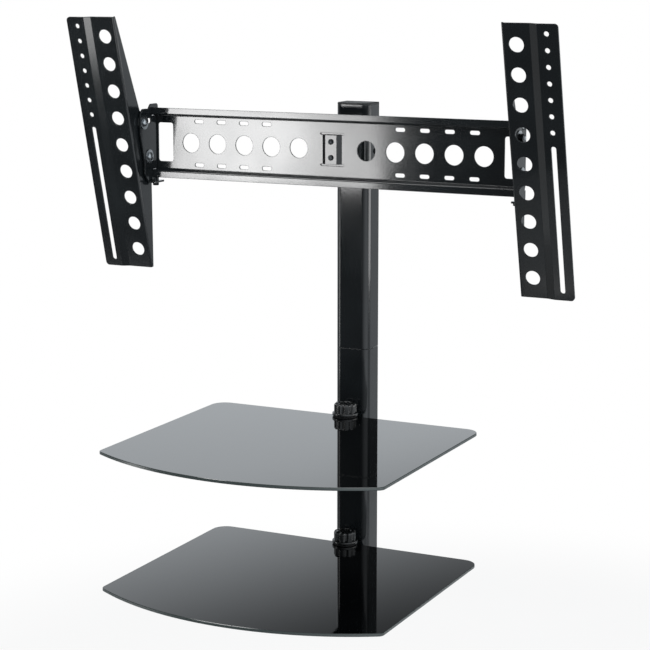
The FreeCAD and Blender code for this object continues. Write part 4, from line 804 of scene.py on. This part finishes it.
class STAND_OT_zinc_fasteners(bpy.types.Operator):
    """Model the tilt bolts and the pin nut, and plate the other bolts, washers and plates"""

    bl_idname = "stand.zinc_fasteners"
    bl_label = "Zinc fasteners"

    def execute(self, context):
        material = zinc_plate(context.scene.stand_colours)
        finish_nodes(ZINC, material)
        model = bolt_model(*TILT_BOLT)
        for side, name in SIDES:
            places = [((side * TILT_BOLT_SEAT, y, z), (0, -side * math.pi / 2, 0))
                      for y, z in TILT_POINTS]
            bolts = copies(model, "tilt_hex_bolts_" + name, places)
            hand_over(bolts, "tilt_bolts_" + name, "arm_" + name, material)
        drop_model(model)
        model = nut_model(*SWIVEL_NUT)
        nut = copies(model, "swivel_hex_nut", ((SWIVEL_NUT_SEAT, (0, 0, math.pi / 2)),))
        hand_over(nut, "swivel_pin_nut", "stand", material)
        drop_model(model)
        return {"FINISHED"}


class STAND_OT_black_screws(bpy.types.Operator):
    """Model the socket screws, lock screws and tilt nuts"""

    bl_idname = "stand.black_screws"
    bl_label = "Black screws"

    def execute(self, context):
        material = black_oxide(context.scene.stand_colours)
        model = screw_model(*COLUMN_SCREW, DOMED)
        places = [((side * COLUMN_SIDE, COLUMN_SCREW_DEPTH, z),
                   (0, side * math.pi / 2, COLUMN_SCREW_TURN * k))
                  for side, _ in SIDES for k, z in enumerate(COLUMN_SCREW_LEVELS)]
        screws = copies(model, "column_socket_screws", places)
        hand_over(screws, "column_side_screws", "stand", material)
        drop_model(model)
        model = screw_model(*BRIDGE_SCREW, DOMED)
        places = [((0, BRIDGE_FRONT, z), (math.pi / 2, 0, 0)) for z in BRIDGE_SCREW_LEVELS]
        screws = copies(model, "bridge_socket_screws", places)
        hand_over(screws, "bridge_screws", "head", material)
        drop_model(model)
        model = screw_model(*LOCK_SCREW, KNURLED)
        for side, name in SIDES:
            x, y, z = LOCK_SCREW_SEAT
            screw = copies(model, "lock_screw_" + name, (((side * x, y, z), (math.pi, 0, 0)),))
            hand_over(screw, "bracket_lock_screw_" + name, "lock_screw_" + name,
                      material)
        drop_model(model)
        model = nut_model(*TILT_NUT)
        for side, name in SIDES:
            places = [((side * TILT_NUT_SEAT, y, z), (0, side * math.pi / 2, 0))
                      for y, z in TILT_POINTS]
            nuts = copies(model, "tilt_hex_nuts_" + name, places)
            hand_over(nuts, "tilt_nuts_" + name, "arm_" + name, material)
        drop_model(model)
        return {"FINISHED"}


class STAND_OT_rubber_pads(bpy.types.Operator):
    """Mould the rubber pads, gaskets and knob washers"""

    bl_idname = "stand.rubber_pads"
    bl_label = "Rubber pads"

    def execute(self, context):
        finish_nodes(RUBBER, pad_rubber(context.scene.stand_colours))
        return {"FINISHED"}


# Stage

def soft_box(name, place, target, width, height, grid, power):
    """Rectangular studio lamp aimed at a point; with a grid it is seen only as sheen."""
    bpy.ops.object.light_add(type="AREA", location=place)
    lamp = bpy.context.object
    lamp.name = name
    lamp.data.shape = "RECTANGLE"
    lamp.data.size = width
    lamp.data.size_y = height
    lamp.data.energy = power
    aim = Vector(target) - Vector(place)
    lamp.rotation_euler = aim.to_track_quat("-Z", "Y").to_euler()
    lamp.visible_camera = False
    if grid < OPEN:
        lamp.data.spread = math.radians(grid)
        lamp.visible_diffuse = False


def seen_straight(tree):
    """Share of light that goes to the camera, straight or through glass."""
    path = add_node(tree, "ShaderNodeLightPath")
    seen = add_node(tree, "ShaderNodeMath", {"operation": "MAXIMUM"},
                    {0: path.outputs["Is Camera Ray"], 1: path.outputs["Is Transmission Ray"]})
    return seen.outputs["Value"]


def studio_world(colours):
    """White paper behind the object, a dim studio in front of it, white all round to the camera."""
    world = bpy.data.worlds.new("studio")
    bpy.context.scene.world = world
    world.use_nodes = True
    tree = world.node_tree
    tree.nodes.clear()
    way = add_node(tree, "ShaderNodeTexCoord").outputs["Generated"]
    axes = add_node(tree, "ShaderNodeSeparateXYZ", links={"Vector": way})
    # The paper fills the back of the studio, to about 10 degrees above the horizon, higher on the
    # left and lower on the right, and curves on to the floor.
    behind = add_node(tree, "ShaderNodeMapRange",
                      {"From Min": -0.25, "From Max": 0.3, "interpolation_type": "SMOOTHSTEP"},
                      {"Value": axes.outputs["Y"]})
    lean = add_node(tree, "ShaderNodeMath", {"operation": "MULTIPLY_ADD", 1: 0.3, 2: 0.135},
                    {0: axes.outputs["X"]})
    high = add_node(tree, "ShaderNodeMath", {"operation": "ADD"},
                    {0: axes.outputs["Z"], 1: lean.outputs["Value"]})
    top = add_node(tree, "ShaderNodeMapRange",
                   {"From Min": 0.25, "From Max": 0.3665, "To Min": 1.25, "To Max": 0.12,
                    "interpolation_type": "SMOOTHSTEP"}, {"Value": high.outputs["Value"]})
    foot = add_node(tree, "ShaderNodeMapRange",
                    {"From Min": -0.12, "From Max": 0.05, "To Min": 0.58, "To Max": 1.25,
                     "interpolation_type": "SMOOTHSTEP"}, {"Value": axes.outputs["Z"]})
    paper = add_node(tree, "ShaderNodeMath", {"operation": "MINIMUM"},
                     {0: top.outputs["Result"], 1: foot.outputs["Result"]})
    # In front the studio is dim, and brightens round to its right wall.
    front = add_node(tree, "ShaderNodeMapRange",
                     {"From Min": -0.35, "From Max": 0.95, "To Min": 0.14, "To Max": 1.5,
                      "interpolation_type": "SMOOTHSTEP"}, {"Value": axes.outputs["X"]})
    room = add_node(tree, "ShaderNodeMix", {"data_type": "FLOAT"},
                    {"Factor": behind.outputs["Result"], "A": front.outputs["Result"],
                     "B": paper.outputs["Value"]})
    seen = seen_straight(tree)
    level = add_node(tree, "ShaderNodeMix", {"data_type": "FLOAT", "B": 1.0},
                     {"Factor": seen, "A": room.outputs["Result"]})
    tint = add_node(tree, "ShaderNodeMix",
                    {"data_type": "RGBA", MIX_A: linear(colours.backdrop), MIX_B: (1, 1, 1, 1)},
                    {0: seen})
    light = add_node(tree, "ShaderNodeBackground",
                     links={"Color": tint.outputs[MIX_OUT], "Strength": level.outputs["Result"]})
    add_node(tree, "ShaderNodeOutputWorld", links={"Surface": light.outputs["Background"]})


def floor_vinyl(colours):
    """Matte white studio vinyl, rolled out: faintly mottled, white to the camera apart from the
    shadow on it."""
    material, tree, shader = new_material("matte_white_studio_vinyl")
    place = add_node(tree, "ShaderNodeTexCoord").outputs["Object"]
    # Roller mottle, a hand wide
    mottle = add_node(tree, "ShaderNodeTexNoise", {"Scale": 1 / 0.1, "Detail": 3.0},
                      {"Vector": place})
    tint = add_node(tree, "ShaderNodeMix",
                    {"data_type": "RGBA", MIX_A: linear(colours.floor),
                     MIX_B: (0.95, 0.95, 0.95, 1)}, {0: mottle.outputs["Fac"]})
    tree.links.new(tint.outputs[MIX_OUT], shader.inputs["Base Color"])
    shader.inputs["Roughness"].default_value = 0.8
    # Away from the object the vinyl runs out into the white of the backdrop.
    reach = add_node(tree, "ShaderNodeVectorMath", {"operation": "LENGTH"}, {0: place})
    fade = add_node(tree, "ShaderNodeMapRange",
                    {"From Min": 0.9, "From Max": 1.5, "To Min": 0.85,
                     "interpolation_type": "SMOOTHSTEP"}, {"Value": reach.outputs["Value"]})
    share = add_node(tree, "ShaderNodeMath", {"operation": "MULTIPLY"},
                     {0: seen_straight(tree), 1: fade.outputs["Result"]})
    glow = add_node(tree, "ShaderNodeEmission", {"Color": (1, 1, 1, 1), "Strength": 1.0})
    mixed = add_node(tree, "ShaderNodeMixShader",
                     links={0: share.outputs["Value"], 1: shader.outputs["BSDF"],
                            2: glow.outputs["Emission"]})
    out = next(node for node in tree.nodes if node.type == "OUTPUT_MATERIAL")
    tree.links.new(mixed.outputs["Shader"], out.inputs["Surface"])
    return material


class STAND_OT_stage(bpy.types.Operator):
    """Lay the floor, set the lamps and place the camera"""

    bl_idname = "stand.stage"
    bl_label = "Stage"

    def execute(self, context):
        scene = context.scene
        floor = add_piece(bpy.ops.mesh.primitive_plane_add, size=FLOOR_SIZE,
                          location=(0, FLOOR_BACK, -scene.stand_sizes.floor_drop))
        floor.name = "studio_floor"
        floor.data.materials.append(floor_vinyl(scene.stand_colours))
        for lamp in LAMPS:
            soft_box(*lamp)
        studio_world(scene.stand_colours)
        scene.view_settings.view_transform = "Standard"
        bpy.ops.object.camera_add(location=CAMERA_PLACE)
        camera = context.object
        back = Vector((math.sin(CAMERA_TURN) * math.cos(CAMERA_DIP),
                       -math.cos(CAMERA_TURN) * math.cos(CAMERA_DIP), math.sin(CAMERA_DIP)))
        camera.rotation_euler = (-back).to_track_quat("-Z", "Y").to_euler()
        camera.data.sensor_width = SENSOR
        camera.data.lens = SENSOR * FOCAL_PIXELS / PICTURE_PIXELS
        camera.data.clip_start = CLIP_NEAR
        camera.data.clip_end = CLIP_FAR
        scene.camera = camera
        return {"FINISHED"}


OPERATORS = (
    STAND_OT_painted_steel, STAND_OT_glass_shelves, STAND_OT_clamp_knobs, STAND_OT_column_caps,
    STAND_OT_zinc_fasteners, STAND_OT_black_screws, STAND_OT_rubber_pads, STAND_OT_stage)


class STAND_PT_panel(bpy.types.Panel):
    """Sizes, colours and steps of the wall media column"""

    bl_idname = "STAND_PT_panel"
    bl_label = "Wall media column"
    bl_space_type = "VIEW_3D"
    bl_region_type = "UI"
    bl_category = "Column"

    def draw(self, context):
        layout = self.layout
        for group in (context.scene.stand_sizes, context.scene.stand_colours):
            for name in group.bl_rna.properties.keys():
                if name not in ("rna_type", "name"):
                    layout.prop(group, name)
        for operator in OPERATORS:
            layout.operator(operator.bl_idname)


CLASSES = (StandSizes, StandColours) + OPERATORS + (STAND_PT_panel,)


def register():
    for item in CLASSES:
        bpy.utils.register_class(item)
    bpy.types.Scene.stand_sizes = PointerProperty(type=StandSizes)
    bpy.types.Scene.stand_colours = PointerProperty(type=StandColours)


def unregister():
    del bpy.types.Scene.stand_colours
    del bpy.types.Scene.stand_sizes
    for item in reversed(CLASSES):
        bpy.utils.unregister_class(item)


def main():
    register()
    bpy.ops.object.select_all(action="DESELECT")
    bpy.ops.stand.painted_steel()
    bpy.ops.stand.glass_shelves()
    bpy.ops.stand.clamp_knobs()
    bpy.ops.stand.column_caps()
    bpy.ops.stand.zinc_fasteners()
    bpy.ops.stand.black_screws()
    bpy.ops.stand.rubber_pads()
    bpy.ops.stand.stage()


if __name__ == "__main__":
    main()
